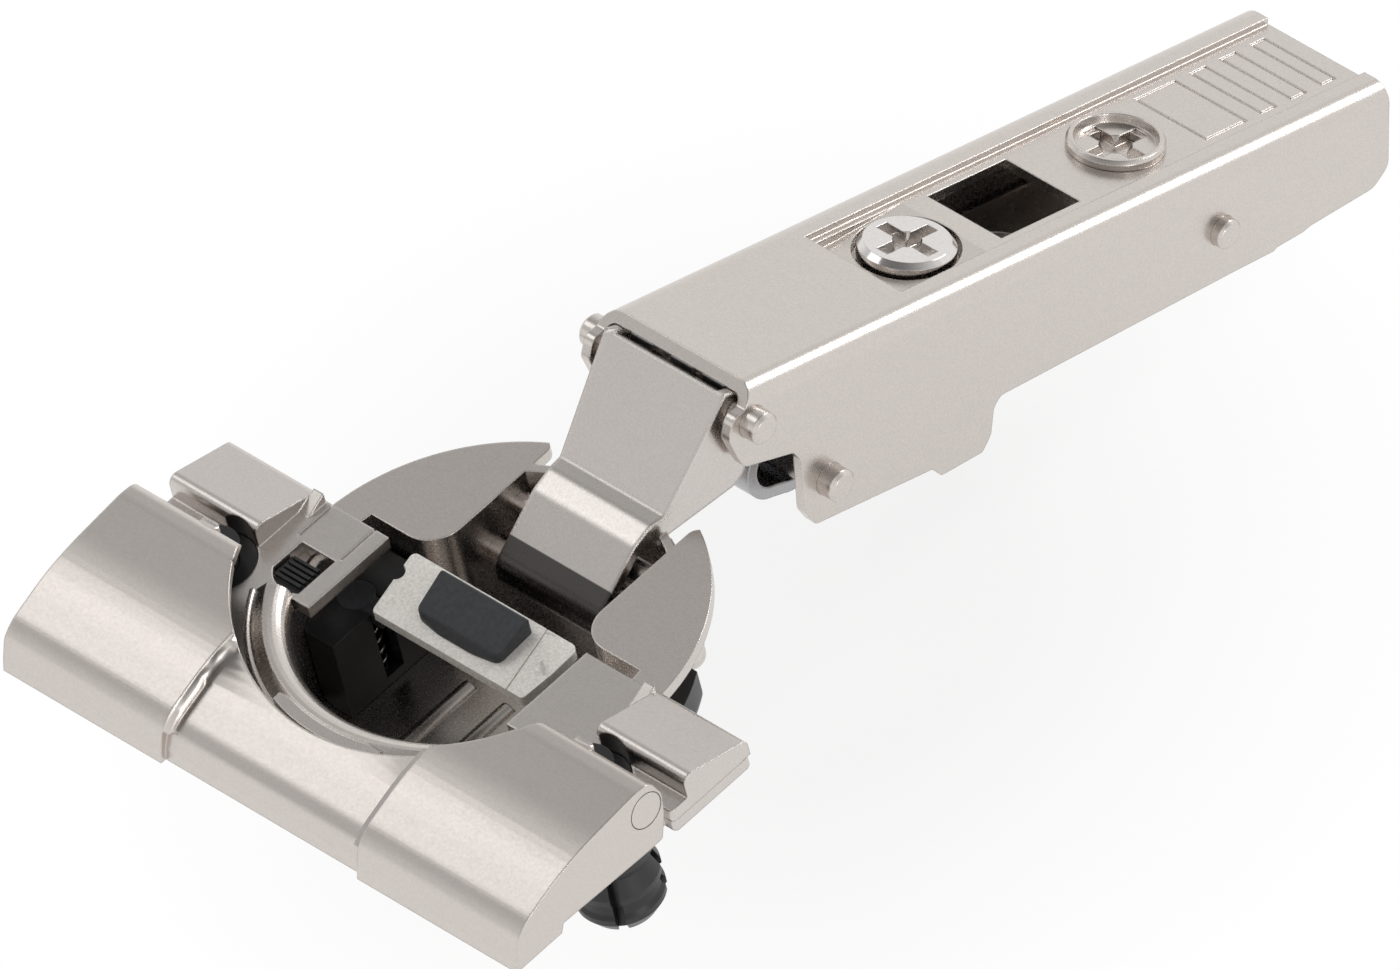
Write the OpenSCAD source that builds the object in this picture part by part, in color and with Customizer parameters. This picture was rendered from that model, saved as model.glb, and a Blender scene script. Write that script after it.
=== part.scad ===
// Concealed cup hinge for a cabinet door, opened to 110 degrees, with a tool-free
// press-in plate, soft-close damper in the cup and a clip-on arm.
// Origin: axis of the cup at the door's face. +Z comes out of the cup's mouth,
// +Y points to the door's near edge and the arm, +X runs along the hinge pins.

/* [Cup] */
// Outer radius of the cup, for a 35 mm drilling
cup_r = 17.5; // [17.3:0.05:17.5]
// Wall of the drawn cup
cup_wall = 1.1; // [0.9:0.05:1.3]
// Depth of the cup below the door's face
cup_depth = 11.9; // [11.6:0.1:12.4]
// Radius of the cup's bottom edge
cup_edge_r = 2.2; // [1.6:0.1:2.6]
// Half width of the channel for the links
slot_hw = 8.5; // [8.2:0.1:8.8]
// Where the wide mouth ends and the channel begins
neck_y = 2.8; // [2.4:0.1:3.2]
// Radius of the lobes' corners beside the channel
lobe_corner_r = 3.2; // [2.6:0.1:3.4]
// How far the two rear lobes of the flange reach past the cup's wall
lobe_reach = 2.3; // [1.9:0.1:2.7]
// Thickness of the flange lobes
flange_t = 1.15; // [1.0:0.05:1.15]
// How far the collar folded over the plates reaches past the cup's wall
collar_reach = 2.9; // [2.5:0.1:2.9]
// How far the collar's inner edge lies outside the cup's wall
collar_in_reach = 1.05; // [0.8:0.05:1.3]
// How far the wall steps in where it passes through the plates
neck_step = 0.3; // [0.3:0.05:0.4]
// Thickness of the folded collar
collar_t = 1.35; // [1.1:0.05:1.4]
// Where the collar's two ends are cut
collar_end_y = -10.5; // [-11:0.1:-10]
// How far the straight front edge of the mouth lies outside the cup's wall
collar_flat_reach = 0.6; // [0.4:0.05:0.8]

/* [Base plates] */
// How far the plates' ends stand out past the flap's
plate_proud = 0.05; // [0.05:0.05:0.3]
// Rear edge of the lower sheet
sheet_rear_y = 1.2; // [1:0.1:1.3]
// Front edge of both plates
plate_front_y = -21.7; // [-22:0.1:-21.4]
// Rear edge of the upper plate
plate_rear_y = 0.95; // [0.8:0.05:1.1]
// Thickness of the upper plate
plate_t = 1.3; // [1.2:0.05:1.4]
// Half width of the mouth in the upper plate
mouth_hw = 11.92; // [11.6:0.1:12.2]
// Inner side of the raised blocks
wing_in = 20.5; // [20:0.1:21]
// Front face of the raised blocks
wing_front_y = -6.25; // [-6.4:0.05:-6.1]
// Top of the raised blocks at their front
wing_front_z = 4.95; // [4.7:0.05:5.2]
// Top of the raised blocks at their rear
wing_rear_z = 2.95; // [2.8:0.05:3.1]
// Edge rounding of the raised blocks
wing_edge_r = 0.8; // [0.5:0.1:1]

/* [Flap] */
// Half length of the flap
flap_hw = 30.95; // [30.85:0.05:31.1]
// Thickness of the flap's skin
flap_skin = 0.85; // [0.8:0.05:0.9]
// Thickness of the flap's side walls
flap_side_t = 1; // [0.9:0.05:1.1]
// Inner side of the raised ends
flap_end_in = 11.8; // [11.4:0.1:12.4]
// How far the middle lies below the ends
flap_step = 1.15; // [0.9:0.05:1.2]
// Clearance of the flap round the collar
flap_arc_gap = 0.3; // [0.25:0.05:0.5]
// Radius of the flap's pivot heads
flap_pin_r = 1.75; // [1.6:0.05:1.9]

/* [Dowels] */
// Distance between the two dowels
dowel_pitch = 45; // [44.8:0.1:45.2]
// Dowels' distance from the cup's axis
dowel_y = -9.5; // [-9.7:0.1:-9.3]
// Radius of the dowels
dowel_r = 4; // [3.9:0.05:4.1]
// Length of the dowels below the door's face
dowel_len = 12.9; // [12.5:0.1:13.3]
// Radius of the bore in the dowels
dowel_bore_r = 2; // [1.9:0.05:2.1]

/* [Links] */
// Cup pivot of the outer link along Y
outer_y = 9.2; // [9.1:0.05:9.3]
// Cup pivot of the outer link along Z
outer_z = -4.25; // [-4.35:0.05:-4.15]
// Cup pivot of the inner link along Y
inner_y = 12.8; // [12.7:0.05:12.85]
// Cup pivot of the inner link along Z
inner_z = -1.6; // [-1.7:0.05:-1.55]
// Front pivot of the arm along Y
front_y = 25.84; // [25.7:0.02:26]
// Front pivot of the arm along Z
front_z = 7.18; // [7.1:0.02:7.3]
// Radius of the outer link's pin in the cup
cup_pin_r = 1.25; // [1.2:0.05:1.3]
// Radius of the inner link's pin in the cup
inner_pin_r = 1.05; // [1:0.05:1.1]
// Half length of the two pins in the cup
cup_pin_half = 11.4; // [11:0.1:11.6]
// Radius of the two pins in the arm
arm_pin_r = 1.5; // [1.45:0.05:1.55]
// Half length of the two pins in the arm
arm_pin_half = 10.7; // [10.2:0.1:11]
// Running clearance between a pin and its hole
run_gap = 0.05; // [0.03:0.01:0.08]
// Thickness of the outer link's sheet
outer_t = 1; // [0.9:0.05:1.05]
// Half width of the outer link in the cup
outer_low_hw = 6.1; // [6:0.05:6.3]
// Half width of the outer link at the arm
outer_top_hw = 7.13; // [7:0.01:7.3]
// Thickness of the inner link's sheet
inner_t = 1.1; // [1:0.05:1.1]
// Half width of the inner link
inner_hw = 4.6; // [4.2:0.1:4.7]

/* [Actuator] */
// Half width of the actuator plate
actuator_hw = 10; // [9.6:0.1:10.2]
// Thickness of the actuator plate
actuator_t = 1; // [0.8:0.05:1.1]
// Half width of the dark pad
pad_hw = 5.2; // [4.8:0.1:5.6]

/* [Arm] */
// Opening angle of the hinge as it is modelled
open_angle = 110; // [109.5:0.1:110.5]
// Half width of the arm
arm_hw = 8.9; // [8.8:0.05:9.1]
// Sheet thickness of the arm
arm_t = 1; // [0.9:0.05:1.1]
// Height of the arm's top above the front pivot
arm_top = 3.3; // [3.2:0.05:3.4]
// Rounding of the arm's long top edges
arm_edge_r = 1.9; // [1.7:0.1:2.1]
// Rear end of the arm from the front pivot
arm_rear = 77.8; // [76.5:0.1:79]
// Half width of the recessed panel on top
panel_hw = 5.8; // [5.6:0.1:6]
// Depth of the recessed panel
panel_depth = 0.6; // [0.5:0.05:0.7]
// Place of the front screw from the front pivot
side_screw_a = 27.5; // [27.3:0.1:27.7]
// Place of the rear screw from the front pivot
depth_screw_a = 53; // [52.8:0.1:53.2]
// Radius of both screw heads
screw_head_r = 4.35; // [4.2:0.05:4.4]
// Front and rear ends of the window, from the front pivot
window_a = [34.5, 44.1];
// Half width of the window
window_hw = 4.45; // [4.3:0.05:4.6]

/* [Inner parts of the arm] */
// Place of the visible guide pin along the arm
guide_a = 57.6; // [57.4:0.1:57.8]
// Height of the guide pin from the front pivot
guide_b = -3.4; // [-3.5:0.05:-3.3]
// Radius of the guide pin
guide_r = 1.4; // [1.3:0.05:1.5]
// Side clearance between nested channels
nest_gap = 0.3; // [0.2:0.05:0.35]
// Sheet thickness of the carrier and the clip base
carrier_t = 1; // [0.9:0.05:1.1]
// Travel of the depth adjustment to the front
depth_fwd = 2; // [1.5:0.1:2]
// Travel of the depth adjustment to the rear
depth_back = 3; // [2:0.1:3]

/* [Hidden] */
$fn = 48;

steel = [0.72, 0.70, 0.68];
bright = [0.86, 0.84, 0.81];
black = [0.12, 0.12, 0.13];
grey = [0.30, 0.30, 0.31];

// Small overlap for clean cuts and a big size that clears the part
eps = 0.01;
far = 60;
tilt = open_angle - 90;
cup_in_r = cup_r - cup_wall;
neck_r = cup_r - neck_step;
lobe_r = cup_r + lobe_reach;
collar_r = cup_r + collar_reach;
collar_in_r = cup_r + collar_in_reach;
plate_hw = flap_hw + plate_proud;
floor_z = cup_depth - cup_wall;
deck_z = flange_t + plate_t;
collar_top = deck_z + collar_t;
flap_y = -10.7;
flap_z = 4.8;
// The lower arm pivot, in the arm's own directions a (to the rear) and b (to the top)
lower_a = 10.2;
lower_b = -9.73;

// Unit vector, normal and arc helpers for outlines
function unit(v) = v / norm(v);
function left(v) = [-v[1], v[0]];
function wrap(a) = a > 180 ? a - 360 : a < -180 ? a + 360 : a;
function arc(c, r, a0, a1, n = 8) = [for (i = [0:n]) c + r * [cos(a0 + (a1 - a0) * i / n),
    sin(a0 + (a1 - a0) * i / n)]];
function corner(a, b, c, r, n) =
    r <= 0 ? [b] :
    let (u = unit(a - b), v = unit(c - b), half = acos(max(-1, min(1, u * v))) / 2)
    let (m = b + unit(u + v) * r / sin(half), s = b + u * r / tan(half) - m, e = b + v * r / tan(half) - m)
    let (a0 = atan2(s[1], s[0]), da = wrap(atan2(e[1], e[0]) - a0))
    [for (i = [0:n]) m + r * [cos(a0 + da * i / n), sin(a0 + da * i / n)]];
function flat2(p) = [p[0], p[1]];
function radius(p) = len(p) > 2 ? p[2] : 0;

// Closed outline with rounded corners: each point may carry its own radius
function rounded(p, n = 4) = [for (i = [0:len(p) - 1])
    each corner(flat2(p[(i + len(p) - 1) % len(p)]), flat2(p[i]), flat2(p[(i + 1) % len(p)]),
        radius(p[i]), n)];

// Open path with rounded bends
function bent(p, n = 6) = [flat2(p[0]),
    for (i = [1:len(p) - 2]) each corner(flat2(p[i - 1]), flat2(p[i]), flat2(p[i + 1]), radius(p[i]), n),
    flat2(p[len(p) - 1])];

// The same path moved sideways by t
function side_of(p, i) = i <= 0 ? left(unit(p[1] - p[0])) : left(unit(p[min(i, len(p) - 1)] - p[min(i,
    len(p) - 1) - 1]));
function moved(p, t) = [for (i = [0:len(p) - 1])
    let (n0 = side_of(p, i), n1 = side_of(p, i + 1), m = unit(n0 + n1)) p[i] + m * t / (m * n0)];

// Outline of a bent sheet of thickness t, to the left of its path
function sheet(p, t) = concat(p, [for (i = [len(p) - 1:-1:0]) moved(p, t)[i]]);

// Extrudes a (Y, Z) outline along X, both ways from the middle
module along_x(half) {
    rotate([90, 0, 90]) translate([0, 0, -half]) linear_extrude(2 * half) children();
}

// Extrudes a (Y, Z) outline from x0 to x1
module from_x(x0, x1) {
    rotate([90, 0, 90]) translate([0, 0, x0]) linear_extrude(x1 - x0) children();
}

// Extrudes an (X, Z) outline from y0 to y1
module from_y(y0, y1) {
    translate([0, y1, 0]) rotate([90, 0, 0]) linear_extrude(y1 - y0) children();
}

// Cylinder along X, centred on (y, z)
module bar_x(r, half, y, z) {
    translate([-half, y, z]) rotate([0, 90, 0]) cylinder(r = r, h = 2 * half);
}

// Pin along X with chamfered ends
module pin_x(r, half, y, z, chamfer = 0.35) {
    bar_x(r, half - chamfer, y, z);
    for (s = [0, 1]) mirror([s, 0, 0])
        translate([half - chamfer - eps, y, z]) rotate([0, 90, 0])
            cylinder(r1 = r, r2 = r - chamfer, h = chamfer + eps);
}

// Child shapes in the arm's own frame: Y runs along the arm, Z towards its top
module in_arm() {
    translate([0, front_y, front_z]) rotate([-tilt, 0, 0]) children();
}

module both_sides() {
    children();
    mirror([1, 0, 0]) children();
}

// Plan of the cup's hollow, grown outwards by g
module cup_plan(g) {
    intersection() {
        circle(cup_in_r + g, $fn = 96);
        union() {
            translate([-far, -far]) square([2 * far, far + neck_y + g]);
            translate([-slot_hw - g, -far]) square([2 * (slot_hw + g), 2 * far]);
            for (s = [0, 1]) mirror([s, 0]) difference() {
                translate([slot_hw + g - eps, neck_y + g - eps])
                    square([lobe_corner_r - g + eps, lobe_corner_r - g + eps]);
                translate([slot_hw + lobe_corner_r, neck_y + lobe_corner_r]) circle(lobe_corner_r - g);
            }
        }
    }
}

// Solid of revolution with a rounded bottom edge, used as the cup's outer and inner form
module cup_form(r, bottom, edge_r, top) {
    rotate_extrude($fn = 96) difference() {
        translate([0, bottom]) square([r, top - bottom]);
        translate([r - edge_r, bottom]) difference() {
            translate([0, -eps]) square([edge_r + eps, edge_r + eps]);
            translate([0, edge_r]) circle(edge_r);
        }
    }
}

// Section of the collar: the cup's wall turns outwards over the plates
module collar_section() {
    bend_r = collar_in_r - cup_in_r;
    polygon(concat(
        [[cup_in_r, -1]],
        arc([collar_in_r, collar_top - bend_r], bend_r, 180, 90, 8),
        rounded([[collar_r, collar_top, 0.35], [collar_r, deck_z, 0.2], [neck_r, deck_z], [neck_r, -1]], 3)));
}

module collar_arc(end_angle) {
    rotate([0, 0, 180 + end_angle]) rotate_extrude(angle = 180 - 2 * end_angle, $fn = 96) children();
}

// Collar: the front wall comes up through the plates and is folded over them
module collar() {
    collar_arc(34) intersection() {
        collar_section();
        translate([0, -1]) square([far, deck_z + 1 + eps]);
    }
    difference() {
        collar_arc(asin(-collar_end_y / collar_r)) intersection() {
            collar_section();
            translate([0, deck_z]) square(far);
        }
        // The collar's ends are cut straight across
        translate([-far, collar_end_y, deck_z - 1]) cube([2 * far, far, far]);
    }
    // Straight front edge of the mouth
    intersection() {
        rotate_extrude($fn = 96) translate([cup_r, deck_z + 0.02]) square([collar_r - cup_r - 0.5,
            collar_t - 0.14]);
        translate([-6.1, -far, 0]) cube([12.2, far - cup_r - collar_flat_reach, far]);
    }
}

module hinge_cup() color(steel) {
    difference() {
        union() {
            difference() {
                intersection() {
                    translate([0, 0, -cup_depth]) linear_extrude(cup_depth + flange_t) cup_plan(cup_wall);
                    union() {
                        cup_form(cup_r, -cup_depth, cup_edge_r, 0);
                        translate([0, 0, -1]) cylinder(r = neck_r, h = flange_t + 1, $fn = 96);
                    }
                }
                intersection() {
                    translate([0, 0, -floor_z]) linear_extrude(far) cup_plan(0);
                    cup_form(cup_in_r, -floor_z, cup_edge_r - cup_wall * 0.5, far);
                }
            }
            difference() {
                linear_extrude(flange_t) intersection() {
                    circle(lobe_r, $fn = 96);
                    translate([-far, sheet_rear_y + 0.05]) square([2 * far, far]);
                }
                translate([0, 0, -eps]) linear_extrude(far) cup_plan(0);
                translate([-slot_hw, neck_y, -eps]) cube([2 * slot_hw, far, far]);
                // Rounded corners where the channel leaves the disc
                both_sides() slot_mouth_corner();
            }
            collar();
            floor_ribs();
        }
        // The channel is open to the rear for the links
        translate([-outer_low_hw - 0.6, neck_y + 8, -1.3]) cube([2 * outer_low_hw + 1.2, far, far]);
        // Holes for the two pivots and the housing's rivets
        bar_x(cup_pin_r, far, outer_y, outer_z);
        bar_x(inner_pin_r, far, inner_y, inner_z);
        both_sides() translate([slot_hw - 1, rivet_y, rivet_z]) rotate([0, 90,
            0]) cylinder(r = rivet_r, h = far);
        // Window through which the damper housing reaches behind the channel's wall
        translate([bridge_x0, neck_y - eps, -floor_z]) cube([bridge_x1 - bridge_x0, 2 * cup_wall,
            bridge_window_h]);
    }
}

module slot_mouth_corner(r = 1.2) {
    y = sqrt(lobe_r * lobe_r - (slot_hw + r) * (slot_hw + r)) - r * 0.55;
    translate([slot_hw, y, -eps]) difference() {
        translate([-eps, 0, 0]) cube([r + eps, far, far]);
        translate([r, 0, -eps]) cylinder(r = r, h = far + 1);
    }
}

// Pressed ribs on the cup's floor
rib_r = 0.9;
module floor_ribs() {
    for (x = [-4.6, 0, 4.6])
        intersection() {
            translate([x, -12, -floor_z - 0.4]) rotate([-90, 0, 0]) cylinder(r = rib_r, h = 12);
            translate([-far, -far, -floor_z - 0.5]) cube([2 * far, 2 * far, 1]);
        }
}

// Plan shared by the two plates: narrower in front, where the flap's side walls cover it
module plate_plan(rear_y) {
    front_hw = flap_hw - flap_side_t - 0.35;
    polygon(rounded([
        [-front_hw, plate_front_y, 1], [front_hw, plate_front_y, 1],
        [front_hw, -8.3], [plate_hw, -8.3, 0.4],
        [plate_hw, rear_y, 0.8], [-plate_hw, rear_y, 0.8],
        [-plate_hw, -8.3, 0.4], [-front_hw, -8.3]], 4));
}

module dowel_sheet() color(steel) {
    difference() {
        linear_extrude(flange_t) plate_plan(sheet_rear_y);
        translate([0, 0, -eps]) linear_extrude(far) circle(cup_r + 0.02, $fn = 96);
        // Hole of each dowel's neck, with the seat that is coined round it
        for (s = [-1, 1]) translate([s * dowel_pitch / 2, dowel_y, -eps]) {
            cylinder(r = dowel_neck_r, h = far);
            cylinder(r = dowel_r + 0.1, h = dowel_seat_t + eps);
        }
    }
}

switch_y = [-8.6, -3.7];
switch_x = -15.85;
switch_hw = 2.05;
module switch_hole(grow = 0) {
    intersection() {
        translate([switch_x - switch_hw - grow, switch_y[0] - 1]) square([2 * (switch_hw + grow),
            switch_y[1] + grow - switch_y[0] + 1]);
        translate([switch_x + 0.6, switch_y[0] + 3.2]) circle(3.2 + grow);
    }
    translate([switch_x - switch_hw - grow, switch_y[0] + 3]) square([2 * (switch_hw + grow),
        switch_y[1] + grow - switch_y[0] - 3]);
}

module boss_plate() color(steel) {
    difference() {
        union() {
            translate([0, 0, flange_t]) linear_extrude(plate_t) plate_plan(plate_rear_y);
            both_sides() wing();
            both_sides() flap_ear();
        }
        // Mouth between the plate's two inner edges, and the collar's seat
        translate([-mouth_hw, -8.96, 0]) cube([2 * mouth_hw, far, far]);
        translate([0, 0, -eps]) intersection() {
            linear_extrude(far) circle(cup_r + 0.02, $fn = 96);
            translate([-far, -far, 0]) cube([2 * far, far - 8.95, far]);
        }
        // Seats of the dowels' heads
        for (s = [-1, 1]) translate([s * dowel_pitch / 2, dowel_y,
            -eps]) cylinder(r = dowel_head_r + 0.05, h = far);
        translate([0, 0, flange_t - eps]) linear_extrude(far) switch_hole();
        // Two fine grooves from the switch to the rear edge
        for (g = [-18.6, -13.5]) translate([g - 0.12, switch_y[1] + 0.4, deck_z - 0.2]) cube([0.24, far, 1]);
        both_sides() bar_x(flap_shank_r + run_gap, far, flap_y, flap_z);
    }
}

module wing() {
    from_x(wing_in, plate_hw) polygon(rounded([
        [wing_front_y, deck_z - 0.5], [wing_front_y, wing_front_z, wing_edge_r],
        [plate_rear_y + 0.2, wing_rear_z, wing_edge_r], [plate_rear_y + 0.2, flange_t + 0.1],
            [wing_front_y + 1, flange_t + 0.1]], 5));
    // Small web between the block and the plate
    translate([wing_in + eps, -1.4, deck_z - eps]) rotate([0, -90, 0]) linear_extrude(1.2)
        polygon([[0, 0], [0, 2.2], [1.1, 2.2]]);
}

flap_shank_r = 0.9;
ear_r = 1.55;
ear_x = [flap_hw - 2.55, flap_hw - 1.4];
module flap_ear() {
    from_x(ear_x[0], ear_x[1]) {
        translate([flap_y, flap_z]) circle(ear_r);
        polygon([[flap_y - ear_r, flap_z], [flap_y + ear_r, flap_z], [flap_y + 1.9, deck_z - 0.5],
            [flap_y - 1.9, deck_z - 0.5]]);
    }
}

// Flap's outline in (Y, Z); lower is how far the middle part lies inside it
function flap_outline(lower) = [
    [-27.85 + lower * 0.5, 0.05], [-27.6 + lower * 0.5, 1.15, 0.4],
        [-26.9 + lower * 0.5, 3.25 - lower * 0.5, 1.8],
    [-25.7 + lower * 0.5, 4.35 - lower * 0.8, 5], [-20.6, 6.31 - lower, 22], [-16.9, 6.9 - lower, 34],
    [-11.4, 7.45 - lower, 4], [-9.6, 7.3 - lower, 1.2], [-8.7, 5.15, 1.5], [-9, 2.85, 1], [-9.8, 0.55, 0.3],
    [-11.5, 0.5, 0.3], [-21.9, 0.9, 0.2], [-22.3, 0.05, 0.1]];

function flap_hollow(lower) = [
    [-22.6, -1], [-26.6 + lower * 0.5, 1.2, 0.5], [-25.9 + lower * 0.5, 2.9 - lower * 0.5, 0.8],
    [-24.9 + lower * 0.5, 3.6 - lower * 0.8, 1.2],
    [-20.6, 6.31 - flap_skin - lower, 5], [-16.9, 6.9 - flap_skin - lower, 6],
    [-11.4, 7.45 - flap_skin - lower], [-5, 7.3 - flap_skin - lower], [-5, -1]];

module insert_flap() color(steel) {
    difference() {
        union() {
            // Raised ends
            both_sides() difference() {
                from_x(flap_end_in, flap_hw) polygon(rounded(flap_outline(0), 6));
                from_x(flap_end_in - eps, flap_hw - flap_side_t) polygon(rounded(flap_hollow(0), 3));
            }
            // Lower middle part
            difference() {
                along_x(flap_end_in + eps) polygon(rounded(flap_outline(flap_step), 6));
                along_x(flap_end_in + 1) polygon(rounded(flap_hollow(flap_step), 3));
            }
            both_sides() flap_finger();
            both_sides() flap_step_wall();
        }
        // Round cut-out for the collar and the mouth
        translate([0, 0, -far / 2]) cylinder(r = collar_r + flap_arc_gap, h = far, $fn = 96);
        translate([-flap_arc_x, -11.6, -far / 2]) cube([2 * flap_arc_x, far, far]);
        both_sides() bar_x(flap_pin_r, far, flap_y, flap_z);
        // Pressed slot in front of each dowel, open to the rear for the ears
        both_sides() translate([ear_x[0] - 0.35, flap_y - 1.9,
            flap_z - far]) cube([ear_x[1] - ear_x[0] + 0.6, 3.8, far]);
    }
}
flap_arc_x = 17.4;

// Wall that joins the raised ends to the lower middle part
module flap_step_wall() {
    intersection() {
        from_x(flap_end_in - 0.6, flap_end_in + flap_skin)
            polygon(rounded(flap_outline(flap_step * 0.25), 4));
        from_x(flap_end_in - 1, flap_end_in + 1) polygon(concat(
            [for (p = rounded(flap_outline(0), 4)) if (p[1] > 3) p], [[-9.5, 5.3], [-20.6, 4.6],
                [-25, 2.6]]));
    }
}

// Finger that pushes an expander core down as the flap opens
finger_x = 22.5;
module flap_finger() {
    from_x(finger_x - 0.9, finger_x + 0.9) {
        translate([flap_y + 1.4, flap_z + 0.5]) circle(0.6);
        translate([flap_y + 0.9, flap_z + 0.5]) square([0.9, 1.6]);
    }
}

module flap_pins() color(steel) {
    both_sides() {
        from_x(flap_hw - flap_side_t, flap_hw) translate([flap_y, flap_z]) circle(flap_pin_r - 0.03);
        from_x(ear_x[0] - 0.2, flap_hw - flap_side_t + eps) translate([flap_y, flap_z]) circle(flap_shank_r);
    }
}

dowel_neck_r = 3;
dowel_head_r = 3.6;
dowel_head_t = 1.1;
dowel_seat_t = 0.3;
module dowels() color(black) {
    for (s = [-1, 1]) translate([s * dowel_pitch / 2, dowel_y, 0]) dowel();
}

// One dowel: snap head over the sheet, ribbed body, four legs that flare below
module dowel() {
    leg_top = -dowel_len * 0.5;
    difference() {
        rotate_extrude() polygon(concat(
            [[0, flange_t + dowel_head_t], [dowel_head_r, flange_t + dowel_head_t], [dowel_head_r, flange_t],
             [dowel_neck_r - 0.02, flange_t], [dowel_neck_r - 0.02, dowel_seat_t],
             [dowel_r - 0.3, dowel_seat_t], [dowel_r - 0.3, 0], [dowel_r, 0], [dowel_r, -0.8]],
            [for (i = [0:2]) each [[dowel_r - 0.4, -1.2 - i * 1.7], [dowel_r, -1.5 - i * 1.7],
                                   [dowel_r, -2.2 - i * 1.7], [dowel_r - 0.4, -2.5 - i * 1.7]]],
            [[dowel_r - 0.7, leg_top - 0.4], [dowel_r, leg_top - 2.1], [dowel_r, leg_top - 2.7],
             [dowel_r - 0.5, leg_top - 3.1], [dowel_r - 0.3, leg_top - 4.1], [dowel_r, leg_top - 4.5],
             [dowel_r, leg_top - 5.1], [dowel_r - 0.9, -dowel_len], [0, -dowel_len]]));
        translate([0, 0, -far]) cylinder(r = dowel_bore_r, h = 2 * far);
        // Flared throat for the core's head
        translate([0, 0, -dowel_len - eps]) cylinder(r1 = core_head_r + 0.1, r2 = dowel_bore_r,
            h = core_cone_h + 0.3);
        for (a = [0, 90]) rotate([0, 0, a + 45])
            translate([-0.45, -far, -far]) cube([0.9, 2 * far, far + leg_top]);
    }
}

core_head_r = 2.7;
core_cone_h = 1.6;
core_gap = 0.06;
core_cap_r = 2.4;
core_cap_z = flap_z - 0.4;
module expander(side) color(black) {
    translate([side * dowel_pitch / 2, dowel_y, 0]) {
        translate([0, 0, -dowel_len + 0.4]) cylinder(r = dowel_bore_r - core_gap,
            h = dowel_len - 0.4 + core_cap_z - 0.3);
        translate([0, 0, core_cap_z - 0.6]) cylinder(r = core_cap_r, h = 0.6);
        translate([0, 0, -dowel_len]) cylinder(r1 = core_head_r, r2 = dowel_bore_r - core_gap,
            h = core_cone_h);
    }
}

module expander_left() { expander(-1); }
module expander_right() { expander(1); }

slider_len = 3;
slider_top = deck_z - 0.15;
module switch_slider() color(black) {
    translate([0, 0, flange_t]) linear_extrude(slider_top - flange_t - 0.35) intersection() {
        offset_switch();
        translate([-far, -far]) square([2 * far, far + switch_y[0] + slider_len + 0.5]);
    }
    // Grip ribs across the slider
    for (i = [0:4]) translate([switch_x - 1.5, switch_y[0] + 1 + i * 0.55, slider_top - 0.4]) cube([3,
        0.28, 0.4]);
}
module offset_switch() { switch_hole(-0.12); }

plunger_x = 3.3 - cup_in_r;
tower_x = [plunger_x - 2.9, plunger_x + 2.65];
tower_y = [-8.6, 2.4];
tower_top = -1.9;
bridge_x0 = 10.2;
bridge_x1 = 14.4;
bridge_window_h = 3.2;
bridge_z = -9.6;
block_top = -6.2;
block_x = slot_hw + cup_wall + 0.1;
block_y = neck_y + cup_wall + 0.1;
plunger_y = -3;
plunger_r = 1.7;
module damper_housing() color(black) {
    difference() {
        intersection() {
            union() {
                translate([tower_x[0] - 2, tower_y[0], -floor_z + 0.05])
                    cube([tower_x[1] - tower_x[0] + 2, tower_y[1] - tower_y[0], tower_top + floor_z - 0.05]);
                translate([tower_x[0], 1.9, -floor_z + 0.05]) cube([bridge_x1 - tower_x[0],
                    neck_y - 2, floor_z + bridge_z - 0.05]);
                translate([bridge_x0 + 0.1, 1.9, -floor_z + 0.05])
                    cube([bridge_x1 - bridge_x0 - 0.2, 4, bridge_window_h - 0.2]);
            }
            cup_form(cup_in_r - 0.05, -floor_z + 0.05, cup_edge_r - cup_wall * 0.5, far);
        }
        // Plunger's bore and the slot for its arm
        translate([plunger_x, plunger_y, -floor_z]) cylinder(r = plunger_r + run_gap, h = far);
        translate([plunger_x, plunger_y - 1.05, -floor_z + 1]) cube([-plunger_x - 8, 2.1, far]);
    }
    // Rear block in front of the rivet, outside the channel's wall and inside the drilling
    block_end = rivet_y - rivet_r - 0.25;
    intersection() {
        translate([0, 0, -floor_z + 0.05]) linear_extrude(block_top + floor_z - 0.05) polygon(rounded([
            [block_x, block_y, lobe_corner_r - cup_wall - 0.1], [30, block_y], [30, block_end],
                [block_x, block_end]], 6));
        cup_form(cup_r - 0.1, -floor_z + 0.05, cup_edge_r, far);
    }
}

plunger_low = -3.1;
module damper_piston() color(grey) {
    translate([plunger_x, plunger_y, plunger_low]) cylinder(r = plunger_r, h = tower_top - plunger_low);
    translate([plunger_x, plunger_y - 0.95, plunger_low]) cube([-plunger_x - leg_x[1] - 0.02, 1.9,
        tower_top - plunger_low - 0.1]);
}

// Coil spring under the plunger, as turns that a thin sleeve joins
module damper_spring() color(steel) {
    turns = 4;
    z0 = -floor_z + 0.05;
    z1 = plunger_low - 0.03;
    translate([plunger_x, plunger_y, 0]) rotate_extrude() {
        for (i = [0:turns]) translate([1.2, z0 + 0.2 + (z1 - z0 - 0.4) * i / turns]) circle(0.2, $fn = 6);
        translate([1.12, z0 + 0.2]) square([0.16, z1 - z0 - 0.4]);
    }
}

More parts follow.
